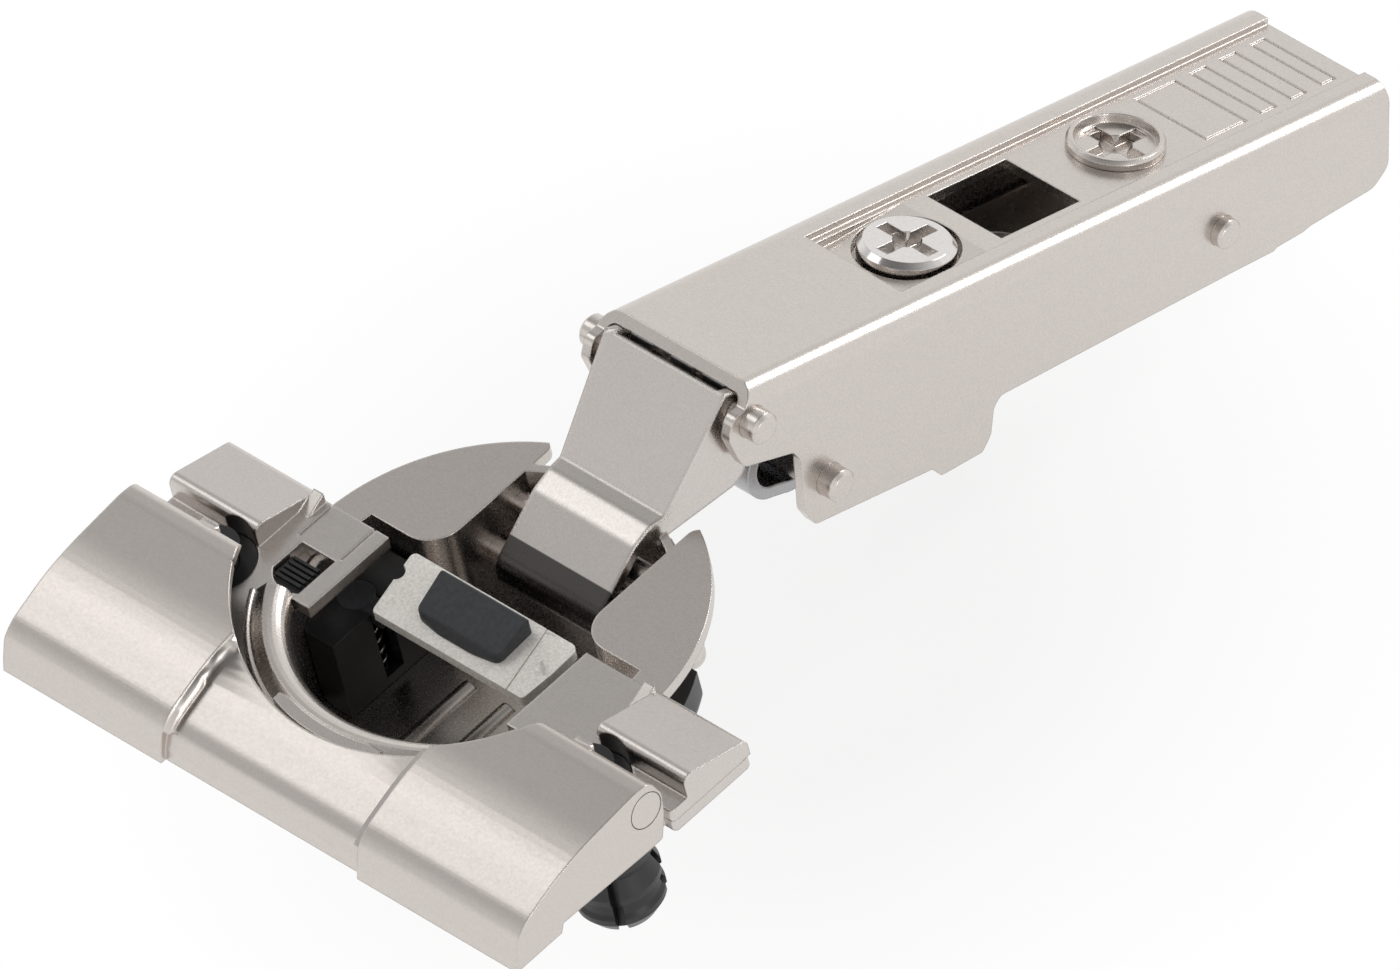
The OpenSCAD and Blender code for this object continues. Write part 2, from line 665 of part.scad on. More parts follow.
// The actuator's sheet slopes down to the front
act_rear = [1.74, 1.15];
act_front = [-4.75, 0.1];
leg_x = [8.3, 9.3];
module actuator_plate() color(bright) {
    difference() {
        union() {
            intersection() {
                along_x(actuator_hw) polygon([act_front, act_rear, act_rear - [0, actuator_t],
                    act_front - [0, actuator_t]]);
                translate([0, 0, -far]) linear_extrude(2 * far) polygon(rounded([
                    [-actuator_hw, act_rear[0], 0.5], [actuator_hw, act_rear[0], 0.8],
                        [actuator_hw - 0.3, -1.5, 0.8],
                    [actuator_hw - 0.9, act_front[0] - 0.1, 0.6],
                        [1 - actuator_hw, act_front[0] - 0.1, 0.6], [0.4 - actuator_hw, -1, 0.4]], 4));
            }
            both_sides() from_x(leg_x[0], leg_x[1]) polygon(rounded([[-3.6, 0], [-0.6, 0.5],
                [-0.6, -2.9, 0.9], [-3.6, -2.9, 0.9]], 4));
        }
        // Notch at the left end
        translate([-actuator_hw + 0.2, -0.6, -far]) cylinder(r = 0.75, h = 2 * far);
        translate([-actuator_hw - 1, -0.6, -far]) cube([1.4, 0.8, 2 * far]);
        both_sides() bar_x(0.45, far, -2.1, -1.7);
    }
}

function act_top(y) = act_front[1] + (y - act_front[0]) * (act_rear[1] - act_front[1])
    / (act_rear[0] - act_front[0]);
module actuator_pad() color(grey) {
    intersection() {
        along_x(pad_hw) polygon(rounded([
            [0.9, act_top(0.9)], [0.9, 2.8, 0.35], [-3.05, 1.3, 0.5], [-3.75, act_top(-3.75), 0.1]], 3));
        translate([0, 0, -far]) linear_extrude(2 * far) polygon(rounded([
            [-pad_hw, 0.9, 0.3], [pad_hw, 0.9, 0.3], [pad_hw - 0.3, -3.2, 0.8], [0, -3.9, 12],
                [0.3 - pad_hw, -3.2, 0.8]], 4));
    }
}

// Path of the outer link's top face, from the cup to the arm
outer_eye_r = 2.3;
outer_path = bent([[7.67, -1.86], [12.75, 1.62, 3], [14.9, 2.28, 2], [16.35, 2.22, 0.3], [25, 10.05]], 5);
module outer_profile() {
    polygon(sheet(outer_path, -outer_t));
    translate([outer_y, outer_z]) circle(outer_eye_r);
    translate([9.1, -3.95]) circle(2.5);
}

module outer_plan(g) {
    polygon([
        [-outer_low_hw + g, 0], [-outer_low_hw + g, 14.5], [-outer_top_hw + g, 24.5], [-outer_top_hw + g, 32],
        [outer_top_hw - g, 32], [outer_top_hw - g, 24.5], [outer_low_hw - g, 14.5], [outer_low_hw - g, 0]]);
}

// Side flanges: they leave the way of the inner link's pin free
module flange_profile() {
    difference() {
        union() {
            polygon(concat(
                [for (p = outer_path) if (p[0] > 12) p],
                arc([front_y, front_z], 2.15, 60, -60, 8),
                bent([[26.9, 5.3], [25.1, 0.8, 1], [23.6, 0.06, 1], [16.3, 0.06, 0.5], [12.5, 0.6]], 3)));
        }
        translate([outer_y, outer_z]) circle(pin_sweep_r, $fn = 64);
    }
}
pin_gap = norm([inner_y - outer_y, inner_z - outer_z]);
pin_sweep_r = pin_gap + inner_pin_r + 0.3;

module outer_link() color(steel) {
    difference() {
        union() {
            intersection() {
                along_x(outer_top_hw) outer_profile();
                translate([0, 0, -far]) linear_extrude(2 * far) outer_plan(0);
            }
            intersection() {
                along_x(outer_top_hw) flange_profile();
                translate([0, 0, -far]) linear_extrude(2 * far) difference() {
                    outer_plan(0);
                    outer_plan(outer_t);
                }
            }
        }
        bar_x(cup_pin_r + run_gap, far, outer_y, outer_z);
        bar_x(arm_pin_r + run_gap, far, front_y, front_z);
    }
}

// Inner link: a curved strap with a rolled eye at each end
inner_eye_r = 1.55;
lower_pivot = [front_y + lower_a * cos(tilt) + lower_b * sin(tilt),
    front_z - lower_a * sin(tilt) + lower_b * cos(tilt)];
inner_path = bent([[12.9, -1.3], [14.6, -0.95, 3], [16.6, -0.5, 1.5], [20.9, 3, 3], [24.2, 4.2, 3],
    [26.3, 3.1, 2.5], [30.3, -4.6]], 6);
slot_move = [-2.05, 1.05];
slot_r = arm_pin_r + 0.65;
module inner_profile() {
    difference() {
        union() {
            polygon(sheet(inner_path, inner_t));
            translate([inner_y, inner_z]) circle(inner_eye_r);
            translate(lower_pivot) circle(slot_r + 1.15);
            translate(lower_pivot + slot_move) circle(slot_r + 1.15);
            translate(lower_pivot + slot_move / 2) rotate(atan2(slot_move[1], slot_move[0]))
                square([norm(slot_move), 2 * slot_r + 2.24], center = true);
        }
        translate(lower_pivot) circle(slot_r);
        translate(lower_pivot + slot_move) circle(slot_r);
        translate(lower_pivot + slot_move / 2) rotate(atan2(slot_move[1], slot_move[0]))
            square([norm(slot_move), 2 * slot_r - 0.06], center = true);
        translate([inner_y, inner_z]) circle(inner_pin_r + run_gap);
    }
}

module inner_link() color(steel) {
    along_x(inner_hw) inner_profile();
}

module cup_pin_outer() color(steel) { pin_x(cup_pin_r, cup_pin_half, outer_y, outer_z); }
module cup_pin_inner() color(steel) { pin_x(inner_pin_r, cup_pin_half, inner_y, inner_z); }

rivet_y = 11.4;
rivet_z = -7.2;
rivet_r = 1.45;
rivet_reach = 0.2;
module housing_rivets() color(steel) {
    // The round end stays inside the cup's drilling
    end = cup_r + rivet_reach - rivet_r;
    length = sqrt(end * end - rivet_y * rivet_y) - slot_hw - 0.05;
    both_sides() translate([slot_hw + 0.05, rivet_y, rivet_z]) rotate([0, 90, 0]) {
        cylinder(r = rivet_r, h = length);
        translate([0, 0, length]) sphere(rivet_r);
    }
}

module arm_pin_front() color(steel) { pin_x(arm_pin_r, arm_pin_half, front_y, front_z); }
module arm_pin_lower() color(steel) { pin_x(arm_pin_r, arm_pin_half, lower_pivot[0], lower_pivot[1]); }

// Cross-section of the arm in (X, b): a channel with round top edges
module arm_section(hw, top, r, low = -16) {
    translate([-hw + r, low]) square([2 * (hw - r), top - low]);
    translate([-hw, low]) square([2 * hw, top - r - low]);
    for (s = [-1, 1]) translate([s * (hw - r), top - r]) circle(r);
}

// Side outline of the arm in (a, b), from the front ear round to the rear
arm_side = [
    [0.2, arm_top], [-1, 1.5, 0.5], [-2.4, 1.1, 1], [-2.7, -0.9, 1], [-1.4, -3.1, 0.8],
        [-0.5, -4.35, 0.8], [5.5, -5.3, 0.8],
    [6.5, -6.4, 0.8], [7.5, -12.1, 1.5], [8.9, -13.8, 0.9], [23.2, -13.9, 0.4], [24.3, -15, 0.6],
        [29.3, -14.6, 0.6],
    [30.2, -13.2, 1.2], [30.3, -10.6, 1], [31, -9.6, 1], [59.6, -8.3], [64.4, -8.15, 0.2],
        [64.8, -7.9], [68, -7.6],
    [68.95, -7.3, 0.3], [76.6, -6.5, 1.8], [78.3, -4.9, 1.4], [77.8, 0.9], [77.7, arm_top]];

function stretched(p) = [p[0] > 70 ? p[0] + arm_rear - 77.8 : p[0], p[1], radius(p)];

panel_b = arm_top - panel_depth;
side_seat_b = 1;
module hinge_arm() color(steel) {
    in_arm() difference() {
        union() {
            intersection() {
                from_y(-5, arm_rear + 2) difference() {
                    arm_section(arm_hw, arm_top, arm_edge_r);
                    arm_section(arm_hw - arm_t, arm_top - arm_t, arm_edge_r - arm_t, -17);
                }
                along_x(arm_hw + 1) polygon(rounded([for (p = arm_side) stretched(p)], 4));
            }
            // Sheet under the recessed panel and round the front screw
            intersection() {
                translate([-panel_hw - 0.8, 20, 0]) cube([2 * panel_hw + 1.6, arm_rear - 20.5, far]);
                along_x(panel_hw + 0.8) polygon([
                    [20, arm_top - arm_t + eps], [20, 1.2], [24, 1.2], [32.5, panel_b - arm_t],
                        [arm_rear, panel_b - arm_t],
                    [arm_rear, arm_top - arm_t + eps]]);
            }
            translate([0, side_screw_a, 0.1]) cylinder(r = screw_head_r + 1.25, h = arm_top - arm_t);
        }
        // Recessed panel
        translate([-panel_hw, 20.9, arm_top - panel_depth]) cube([2 * panel_hw, arm_rear, far]);
        // Dish and round seat of the front screw
        translate([0, side_screw_a, side_seat_b]) cylinder(r = screw_head_r + 0.4, h = far);
        along_x(5.1) polygon(rounded([[21.1, arm_top + 1], [21.1, 1.9, 0.4], [24, 2, 2], [32, panel_b],
            [33, arm_top + 1]], 3));
        // Window
        translate([-window_hw, window_a[0], -5]) cube([2 * window_hw, window_a[1] - window_a[0], far]);
        // Holes for the screws
        translate([0, side_screw_a, -5]) cylinder(r = side_shank_r + run_gap, h = far);
        translate([0, depth_screw_a, -5]) cylinder(r = depth_neck_r + run_gap, h = far);
        // Pressed marks at the rear
        for (m = [[59.7, 64.8], [66.5, 68.5], [70.2, 72.2], [73.95, 75.8]]) arm_mark(m[0], m[1]);
        // Pin holes
        bar_x(arm_pin_r, far, 0, 0);
        bar_x(arm_pin_r, far, lower_a, lower_b);
        bar_x(guide_r, far, guide_a, guide_b);
    }
}

// Fine rectangular groove on the panel
module arm_mark(a0, a1, hw = 4.35, w = 0.25, depth = 0.15) {
    translate([0, 0, arm_top - panel_depth - depth]) linear_extrude(1) difference() {
        translate([-hw, a0]) square([2 * hw, a1 - a0]);
        translate([-hw + w, a0 + w]) square([2 * (hw - w), a1 - a0 - 2 * w]);
    }
}

module guide_pin() color(steel) {
    in_arm() pin_x(guide_r, arm_hw + 1.1, guide_a, guide_b, 0.3);
}

// Three leaf tongues that press on the outer link's end
spring_x = [-4, 0.75, 4.6];
leaf_t = 0.65;
module closing_spring() color(grey) {
    in_arm() {
        for (x = spring_x) translate([x - 1.3, -0.5, arm_top - arm_t - leaf_t]) cube([2.6, 9.5, leaf_t]);
        translate([-5.9, 8.5, arm_top - arm_t - leaf_t]) cube([11.8, 8, leaf_t]);
        translate([-5.9, 16.5 - leaf_t, -1]) cube([11.8, leaf_t, arm_top - arm_t + 1 - eps]);
    }
}

// Carrier: inner channel that swings about the guide pin for side adjustment
carrier_hw = arm_hw - arm_t - nest_gap;
carrier_top = -3;
lever_gap = 8.4;
clip_a = guide_a + lever_gap;
carrier_a = [21, clip_a + 8.5];
side_shank_r = 2;
boss_h = 0.8;
module carrier() color(steel) {
    in_arm() difference() {
        union() {
            intersection() {
                from_y(carrier_a[0], carrier_a[1]) difference() {
                    arm_section(carrier_hw, carrier_top, 1.2);
                    arm_section(carrier_hw - carrier_t, carrier_top - carrier_t, 0.4, -17);
                }
                along_x(carrier_hw + 1) polygon(rounded([
                    [carrier_a[0], carrier_top], [carrier_a[0], -9.5, 1], [30, -9.3, 1], [33, -7.6, 2],
                        [carrier_a[1] - 1, -5.6, 1],
                    [carrier_a[1], carrier_top]], 3));
            }
            translate([0, side_screw_a, carrier_top - eps]) cylinder(r = 3.4, h = boss_h);
        }
        translate([0, side_screw_a, -far / 2]) cylinder(r = side_thread_r, h = far);
        // Windows for the snap lever and under the arm's window
        translate([-lever_hw - 0.3, clip_a - 4.1, carrier_top - carrier_t - 1])
            cube([2 * lever_hw + 0.6, far, 3]);
        translate([0, (window_a[0] + window_a[1]) / 2, -far / 2]) cylinder(r = 3.8, h = far);
        translate([0, depth_screw_a, -far / 2]) cylinder(r = depth_stem_r + 0.6, h = far);
        bar_x(guide_r + run_gap, far, guide_a, guide_b);
    }
}

side_thread_r = 2.4;
side_head_z = arm_top - 0.1;
module side_screw() color(steel) {
    in_arm() translate([0, side_screw_a, 0]) difference() {
        union() {
            rotate_extrude() polygon([
                [0, -6], [1.4, -6], [1.7, -5.7], [1.7, -0.1], [side_shank_r, -0.1],
                    [side_shank_r, side_seat_b + 0.03], [3.9, side_seat_b + 0.03],
                [screw_head_r, 1.5], [screw_head_r, side_head_z - 0.5],
                    [screw_head_r - 0.5, side_head_z], [0, side_head_z]]);
        }
        cross_recess(side_head_z, 3.1, 1.3, 1.5);
    }
}

// Cross recess for a driver, with its arms along and across the arm
module cross_recess(top, reach, w, depth) {
    for (a = [0, 90]) rotate([0, 0, a]) translate([-reach, -w / 2, top - depth])
        cube([2 * reach, w, depth + 1]);
    translate([0, 0, top - depth]) cylinder(r1 = 0.9, r2 = w, h = depth + eps);
}

depth_stem_r = 2;
depth_neck_r = 2.6;
depth_head_z = panel_b + 0.95;

depth_cam_z = -6;
module depth_screw() color(steel) {
    in_arm() translate([0, depth_screw_a, 0]) difference() {
        union() {
            rotate_extrude() polygon([
                [0, depth_cam_z], [1.2, depth_cam_z], [1.2, base_top + 0.5], [depth_stem_r, base_top + 0.5],
                [depth_stem_r, panel_b - arm_t - 0.3], [depth_neck_r, panel_b - arm_t - 0.3],
                    [depth_neck_r, panel_b + 0.02],
                [screw_head_r, panel_b + 0.02], [screw_head_r, depth_head_z - 0.35],
                    [screw_head_r - 0.25, depth_head_z],
                [screw_head_r - 0.6, depth_head_z], [screw_head_r - 0.8, depth_head_z - 0.8],
                    [0, depth_head_z - 0.8]]);
        }
        cross_recess(depth_head_z - 0.8, 3.2, 1.5, 0.9);
    }
}

// Clip base: the piece that hooks onto the mounting plate
base_hw = carrier_hw - carrier_t - nest_gap;
base_top = carrier_top - carrier_t - nest_gap;
base_a = [22.5, clip_a + 5];
module clip_base() color(steel) {
    in_arm() difference() {
        intersection() {
            from_y(base_a[0], base_a[1]) difference() {
                arm_section(base_hw, base_top, 1);
                arm_section(base_hw - carrier_t, base_top - carrier_t, 0.3, -17);
            }
            along_x(base_hw + 1) polygon(rounded([
                [base_a[0], base_top], [base_a[0], -12.6, 1], [29.5, -12.6, 1], [29.5, -9, 1], [33, -7.8, 2],
                [base_a[1], -7, 1], [base_a[1], base_top]], 3));
        }
        // Window for the snap lever
        translate([-lever_hw - 0.2, clip_a - 4.4, base_top - carrier_t - 1]) cube([2 * lever_hw + 0.4,
            far, 3]);
        // Jaw for the mounting plate's front bar
        translate([-far, 24.6, -11.8]) cube([2 * far, 2.6, 1.5]);
        translate([-far, 24.6, -13]) cube([2 * far, 1.4, 2]);
        translate([0, side_screw_a, -far / 2]) scale_slot(2.6, depth_fwd, depth_back);
        // Cross slot driven by the depth screw's peg
        translate([0, depth_screw_a, -far / 2]) scale_slot(1.7, depth_fwd, depth_back);
        // Long holes that the guide pin passes
        for (d = [-depth_back - 0.2, depth_fwd + 0.2]) bar_x(guide_r + 0.35, far, guide_a + d, guide_b - 0.0);
        translate([-far, guide_a - depth_back - 0.2, guide_b - guide_r - 0.35])
            cube([2 * far, depth_back + depth_fwd + 0.4, 2 * guide_r + 0.7]);
        bar_x(clip_pin_r, far, clip_a, clip_b);
    }
}

// Straight slot with round ends, along the arm
module scale_slot(r, before, after) {
    translate([0, before, 0]) cylinder(r = r, h = far);
    translate([0, -after, 0]) cylinder(r = r, h = far);
    translate([-r, -after, 0]) cube([2 * r, before + after, far]);
}

clip_b = guide_b - 2.2;
clip_pin_r = 1;
module clip_pin() color(steel) {
    in_arm() bar_x(clip_pin_r, base_hw, clip_a, clip_b);
}

// Lever that snaps behind the mounting plate
lever_hw = 4.6;
module lever_arms() {
    polygon(rounded([[clip_a - 2, clip_b], [clip_a - 1.6, clip_b - 4, 0.3], [clip_a - 3.2, clip_b - 4.3, 0.3],
                     [clip_a - 2.6, clip_b - 5.4, 0.3], [clip_a, clip_b - 5, 0.6], [clip_a + 2, clip_b]], 3));
    polygon(rounded([[clip_a, clip_b - 1.6], [clip_a, clip_b + 1.4], [arm_rear - 1.6, clip_b + 1.3, 0.5],
                     [arm_rear - 1.6, clip_b - 0.1, 0.5], [clip_a + 4, clip_b - 1.9, 1]], 3));
}

module clip_lever() color(steel) {
    in_arm() {
        both_sides() from_x(2.7, lever_hw) difference() {
            union() {
                translate([clip_a, clip_b]) circle(2.1);
                lever_arms();
            }
            translate([clip_a, clip_b]) circle(clip_pin_r + run_gap);
        }
        // Between its cheeks the lever leaves room for the spring's coils
        along_x(2.7 + eps) difference() {
            lever_arms();
            translate([clip_a, clip_b]) circle(2.3);
        }
    }
}

module clip_spring() color(bright) {
    in_arm() translate([0, clip_a, clip_b]) rotate([0, 90, 0]) rotate_extrude() {
        for (x = [-1.5, -0.5, 0.5, 1.5]) translate([1.65, x]) circle(0.4, $fn = 6);
        translate([1.57, -1.5]) square([0.16, 3]);
    }
}

hinge_cup();
dowel_sheet();
boss_plate();
insert_flap();
flap_pins();
dowels();
expander_left();
expander_right();
switch_slider();
damper_housing();
damper_piston();
damper_spring();
actuator_plate();
actuator_pad();
outer_link();
inner_link();
cup_pin_outer();
cup_pin_inner();
housing_rivets();
arm_pin_front();
arm_pin_lower();
closing_spring();
hinge_arm();
guide_pin();
carrier();
side_screw();
clip_base();
depth_screw();
clip_lever();
clip_pin();
clip_spring();
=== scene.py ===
"""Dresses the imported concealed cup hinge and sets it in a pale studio.

Each sub-assembly of the hinge is a class that dresses its solids and builds the
small pieces that only the picture needs. All lengths are metres, in the part's
own frame: +Z comes out of the cup, +Y points to the arm, +X runs along the pins.
"""

import logging
import math
from dataclasses import dataclass, field
from enum import Enum

import bmesh
import bpy
from mathutils import Matrix, Vector

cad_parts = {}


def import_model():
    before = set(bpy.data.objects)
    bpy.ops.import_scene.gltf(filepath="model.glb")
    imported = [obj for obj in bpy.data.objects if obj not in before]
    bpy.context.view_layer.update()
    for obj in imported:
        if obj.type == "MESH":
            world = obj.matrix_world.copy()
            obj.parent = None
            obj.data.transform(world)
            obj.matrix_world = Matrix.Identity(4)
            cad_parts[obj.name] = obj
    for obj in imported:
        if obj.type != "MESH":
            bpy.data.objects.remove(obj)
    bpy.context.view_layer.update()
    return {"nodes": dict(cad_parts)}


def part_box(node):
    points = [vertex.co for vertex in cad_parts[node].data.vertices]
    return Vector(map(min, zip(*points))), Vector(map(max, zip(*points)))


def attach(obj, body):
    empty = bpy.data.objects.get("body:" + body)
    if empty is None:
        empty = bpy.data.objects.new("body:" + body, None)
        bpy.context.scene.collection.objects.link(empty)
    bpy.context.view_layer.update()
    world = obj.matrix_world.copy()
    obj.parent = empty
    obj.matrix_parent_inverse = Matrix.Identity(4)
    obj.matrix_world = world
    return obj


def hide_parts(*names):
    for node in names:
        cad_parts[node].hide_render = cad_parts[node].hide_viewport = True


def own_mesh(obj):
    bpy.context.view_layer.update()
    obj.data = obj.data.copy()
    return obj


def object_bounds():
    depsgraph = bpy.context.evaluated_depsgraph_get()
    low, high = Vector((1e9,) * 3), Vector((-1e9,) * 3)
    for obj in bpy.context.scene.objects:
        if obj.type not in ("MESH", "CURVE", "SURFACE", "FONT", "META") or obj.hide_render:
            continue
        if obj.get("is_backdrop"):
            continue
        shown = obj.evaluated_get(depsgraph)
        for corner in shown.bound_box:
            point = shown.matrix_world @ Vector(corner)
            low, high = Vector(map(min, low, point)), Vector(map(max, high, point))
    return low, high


LOG = logging.getLogger("cup_hinge")
MM = 0.001
Colour = tuple[float, float, float]

# How the plated and moulded surfaces vary: sizes are metres, the rest are shares.
BRUSH_STRETCH = 0.06
NOISE_ROUGHNESS = 0.55
CLOUD_SIZE = 1.6 * MM
TONE_GRAIN = 1.6
TONE_DARK_AT = 0.32
TONE_LIGHT_AT = 0.68
EVEN_FINE_SHARE = 0.85
SPECKLED_FINE_SHARE = 0.95
# Painted shade on the link's rolled end: how wide its edge fades, and how dark the colour gets as a
# share of the colour.
PAINTED_SHADE_FADE = 0.04 * MM
PAINTED_SHADE_TONE = 0.16
GLOSS_GRAIN = 2
GLOSS_LOW_AT = 0.3
GLOSS_HIGH_AT = 0.7
LEAST_ROUGHNESS = 0.02
RELIEF_STRENGTH = 0.6
EDGE_SAMPLES = 6

# How the shells are taken over from their solids.
WELD = 0.002 * MM
FLAT_FACE_WEIGHT = 90


class Grain(Enum):
    """How the fine relief of a surface runs."""

    EVEN = "even"
    BRUSHED_Y = "brushed_y"
    SPECKLED = "speckled"


class Body(Enum):
    """The moving bodies that extra pieces ride on."""

    CUP = "cup"
    FLAP = "flap"
    ACTUATOR = "actuator"
    OUTER_LINK = "outer_link"
    INNER_LINK = "inner_link"
    LEVER = "clip_lever"


def input_socket(node: bpy.types.Node, name: str, value: float | tuple[float, ...]) -> None:
    """Sets one input of a shader node.

    Args:
        node: The shader node.
        name: The input's name.
        value: The number or colour that it gets.
    """
    node.inputs[name].default_value = value


@dataclass(frozen=True)
class Finish:
    """A surface finish with colour, gloss, grain and softened edges.

    Attributes:
        name: The material's name.
        colour: The base colour, linear.
        roughness: The mean roughness.
        metallic: 1 for metal and 0 for plastic.
        grain: How the relief runs.
        grain_size: Size of the grain, in metres.
        grain_depth: Height of the relief, in metres.
        tone_spread: How far the tone varies from place to place.
        rough_spread: How far the roughness varies from place to place.
        edge: Radius of the softened edges, in metres.
        painted_shade_below: Height along +Y under which the colour is darkened as painted shade, or
            None.
    """

    name: str
    colour: Colour
    roughness: float
    metallic: float = 1.0
    grain: Grain = Grain.EVEN
    grain_size: float = 0.00016
    grain_depth: float = 0.0000025
    tone_spread: float = 0.045
    rough_spread: float = 0.02
    edge: float = 0.00012
    painted_shade_below: float | None = None

    def material(self) -> bpy.types.Material:
        """Builds the node material once and gives it back on later calls.

        Returns:
            The finish's material.
        """
        known = bpy.data.materials.get(self.name)
        if known is not None:
            return known
        made = bpy.data.materials.new(self.name)
        made.use_nodes = True
        tree = made.node_tree
        shader = tree.nodes["Principled BSDF"]
        input_socket(shader, "Metallic", self.metallic)
        place = self._placed(tree)
        self._tone(tree, shader, place)
        self._gloss(tree, shader, place)
        self._relief(tree, shader, place)
        return made

    def _placed(self, tree: bpy.types.NodeTree) -> bpy.types.NodeSocket:
        """Adds object coordinates, stretched along the grain.

        Args:
            tree: The material's node tree.

        Returns:
            The socket that carries the stretched coordinates.
        """
        coordinates = tree.nodes.new("ShaderNodeTexCoord")
        stretch = tree.nodes.new("ShaderNodeMapping")
        along = BRUSH_STRETCH if self.grain is Grain.BRUSHED_Y else 1.0
        stretch.inputs["Scale"].default_value = (1.0, along, 1.0)
        tree.links.new(coordinates.outputs["Object"], stretch.inputs["Vector"])
        return stretch.outputs["Vector"]

    def _noise(self, tree: bpy.types.NodeTree, place: bpy.types.NodeSocket,
               size: float, detail: float) -> bpy.types.NodeSocket:
        """Adds a noise texture.

        Args:
            tree: The material's node tree.
            place: The coordinates.
            size: Size of the noise's features, in metres.
            detail: How many finer layers it has.

        Returns:
            The noise's value socket.
        """
        noise = tree.nodes.new("ShaderNodeTexNoise")
        input_socket(noise, "Scale", 1.0 / size)
        input_socket(noise, "Detail", detail)
        input_socket(noise, "Roughness", NOISE_ROUGHNESS)
        tree.links.new(place, noise.inputs["Vector"])
        return noise.outputs["Fac"]

    def _tone(self, tree: bpy.types.NodeTree, shader: bpy.types.Node,
              place: bpy.types.NodeSocket) -> None:
        """Varies the colour slightly, in broad clouds and in the grain.

        Args:
            tree: The material's node tree.
            shader: The surface shader.
            place: The coordinates.
        """
        broad = self._noise(tree, place, CLOUD_SIZE, 3.0)
        fine = self._noise(tree, place, self.grain_size * TONE_GRAIN, 2.0)
        mixed = tree.nodes.new("ShaderNodeMix")
        mixed.data_type = "FLOAT"
        speckled = self.grain is Grain.SPECKLED
        mixed.inputs[0].default_value = SPECKLED_FINE_SHARE if speckled else EVEN_FINE_SHARE
        tree.links.new(broad, mixed.inputs[2])
        tree.links.new(fine, mixed.inputs[3])
        ramp = tree.nodes.new("ShaderNodeValToRGB")
        ramp.color_ramp.elements[0].position = TONE_DARK_AT
        ramp.color_ramp.elements[1].position = TONE_LIGHT_AT
        dark = tuple(max(0.0, c * (1 - self.tone_spread)) for c in self.colour)
        light = tuple(min(1.0, c * (1 + self.tone_spread)) for c in self.colour)
        ramp.color_ramp.elements[0].color = (*dark, 1.0)
        ramp.color_ramp.elements[1].color = (*light, 1.0)
        tree.links.new(mixed.outputs[0], ramp.inputs["Fac"])
        # Painted shade: the link's rolled end gets a darkened colour.
        if self.painted_shade_below is None:
            tree.links.new(ramp.outputs["Color"], shader.inputs["Base Color"])
        else:
            self._paint_shade(tree, shader, ramp.outputs["Color"])

    def _paint_shade(self, tree: bpy.types.NodeTree, shader: bpy.types.Node,
                unshaded: bpy.types.NodeSocket) -> None:
        """Darkens the rolled end of the sheet.

        Args:
            tree: The material's node tree.
            shader: The surface shader.
            unshaded: The colour outside the painted shade.
        """
        coordinates = tree.nodes.new("ShaderNodeTexCoord")
        split = tree.nodes.new("ShaderNodeSeparateXYZ")
        tree.links.new(coordinates.outputs["Object"], split.inputs["Vector"])
        share = tree.nodes.new("ShaderNodeMapRange")
        input_socket(share, "From Min", self.painted_shade_below - PAINTED_SHADE_FADE)
        input_socket(share, "From Max", self.painted_shade_below + PAINTED_SHADE_FADE)
        tree.links.new(split.outputs["Y"], share.inputs["Value"])
        mixed = tree.nodes.new("ShaderNodeMix")
        mixed.data_type = "RGBA"
        mixed.inputs[6].default_value = (*(PAINTED_SHADE_TONE * c for c in self.colour), 1.0)
        tree.links.new(share.outputs["Result"], mixed.inputs[0])
        tree.links.new(unshaded, mixed.inputs[7])
        tree.links.new(mixed.outputs[2], shader.inputs["Base Color"])

    def _gloss(self, tree: bpy.types.NodeTree, shader: bpy.types.Node,
               place: bpy.types.NodeSocket) -> None:
        """Varies the roughness around its mean.

        Args:
            tree: The material's node tree.
            shader: The surface shader.
            place: The coordinates.
        """
        grain = self._noise(tree, place, self.grain_size * GLOSS_GRAIN, 2.0)
        spread = tree.nodes.new("ShaderNodeMapRange")
        input_socket(spread, "From Min", GLOSS_LOW_AT)
        input_socket(spread, "From Max", GLOSS_HIGH_AT)
        input_socket(spread, "To Min", max(LEAST_ROUGHNESS, self.roughness - self.rough_spread))
        input_socket(spread, "To Max", min(1.0, self.roughness + self.rough_spread))
        tree.links.new(grain, spread.inputs["Value"])
        tree.links.new(spread.outputs["Result"], shader.inputs["Roughness"])

    def _relief(self, tree: bpy.types.NodeTree, shader: bpy.types.Node,
                place: bpy.types.NodeSocket) -> None:
        """Adds the fine grain and the softened edges to the normal.

        Args:
            tree: The material's node tree.
            shader: The surface shader.
            place: The coordinates.
        """
        edge = tree.nodes.new("ShaderNodeBevel")
        edge.samples = EDGE_SAMPLES
        input_socket(edge, "Radius", self.edge)
        bump = tree.nodes.new("ShaderNodeBump")
        input_socket(bump, "Strength", RELIEF_STRENGTH)
        input_socket(bump, "Distance", self.grain_depth)
        tree.links.new(self._noise(tree, place, self.grain_size, 3.0), bump.inputs["Height"])
        tree.links.new(edge.outputs["Normal"], bump.inputs["Normal"])
        tree.links.new(bump.outputs["Normal"], shader.inputs["Normal"])


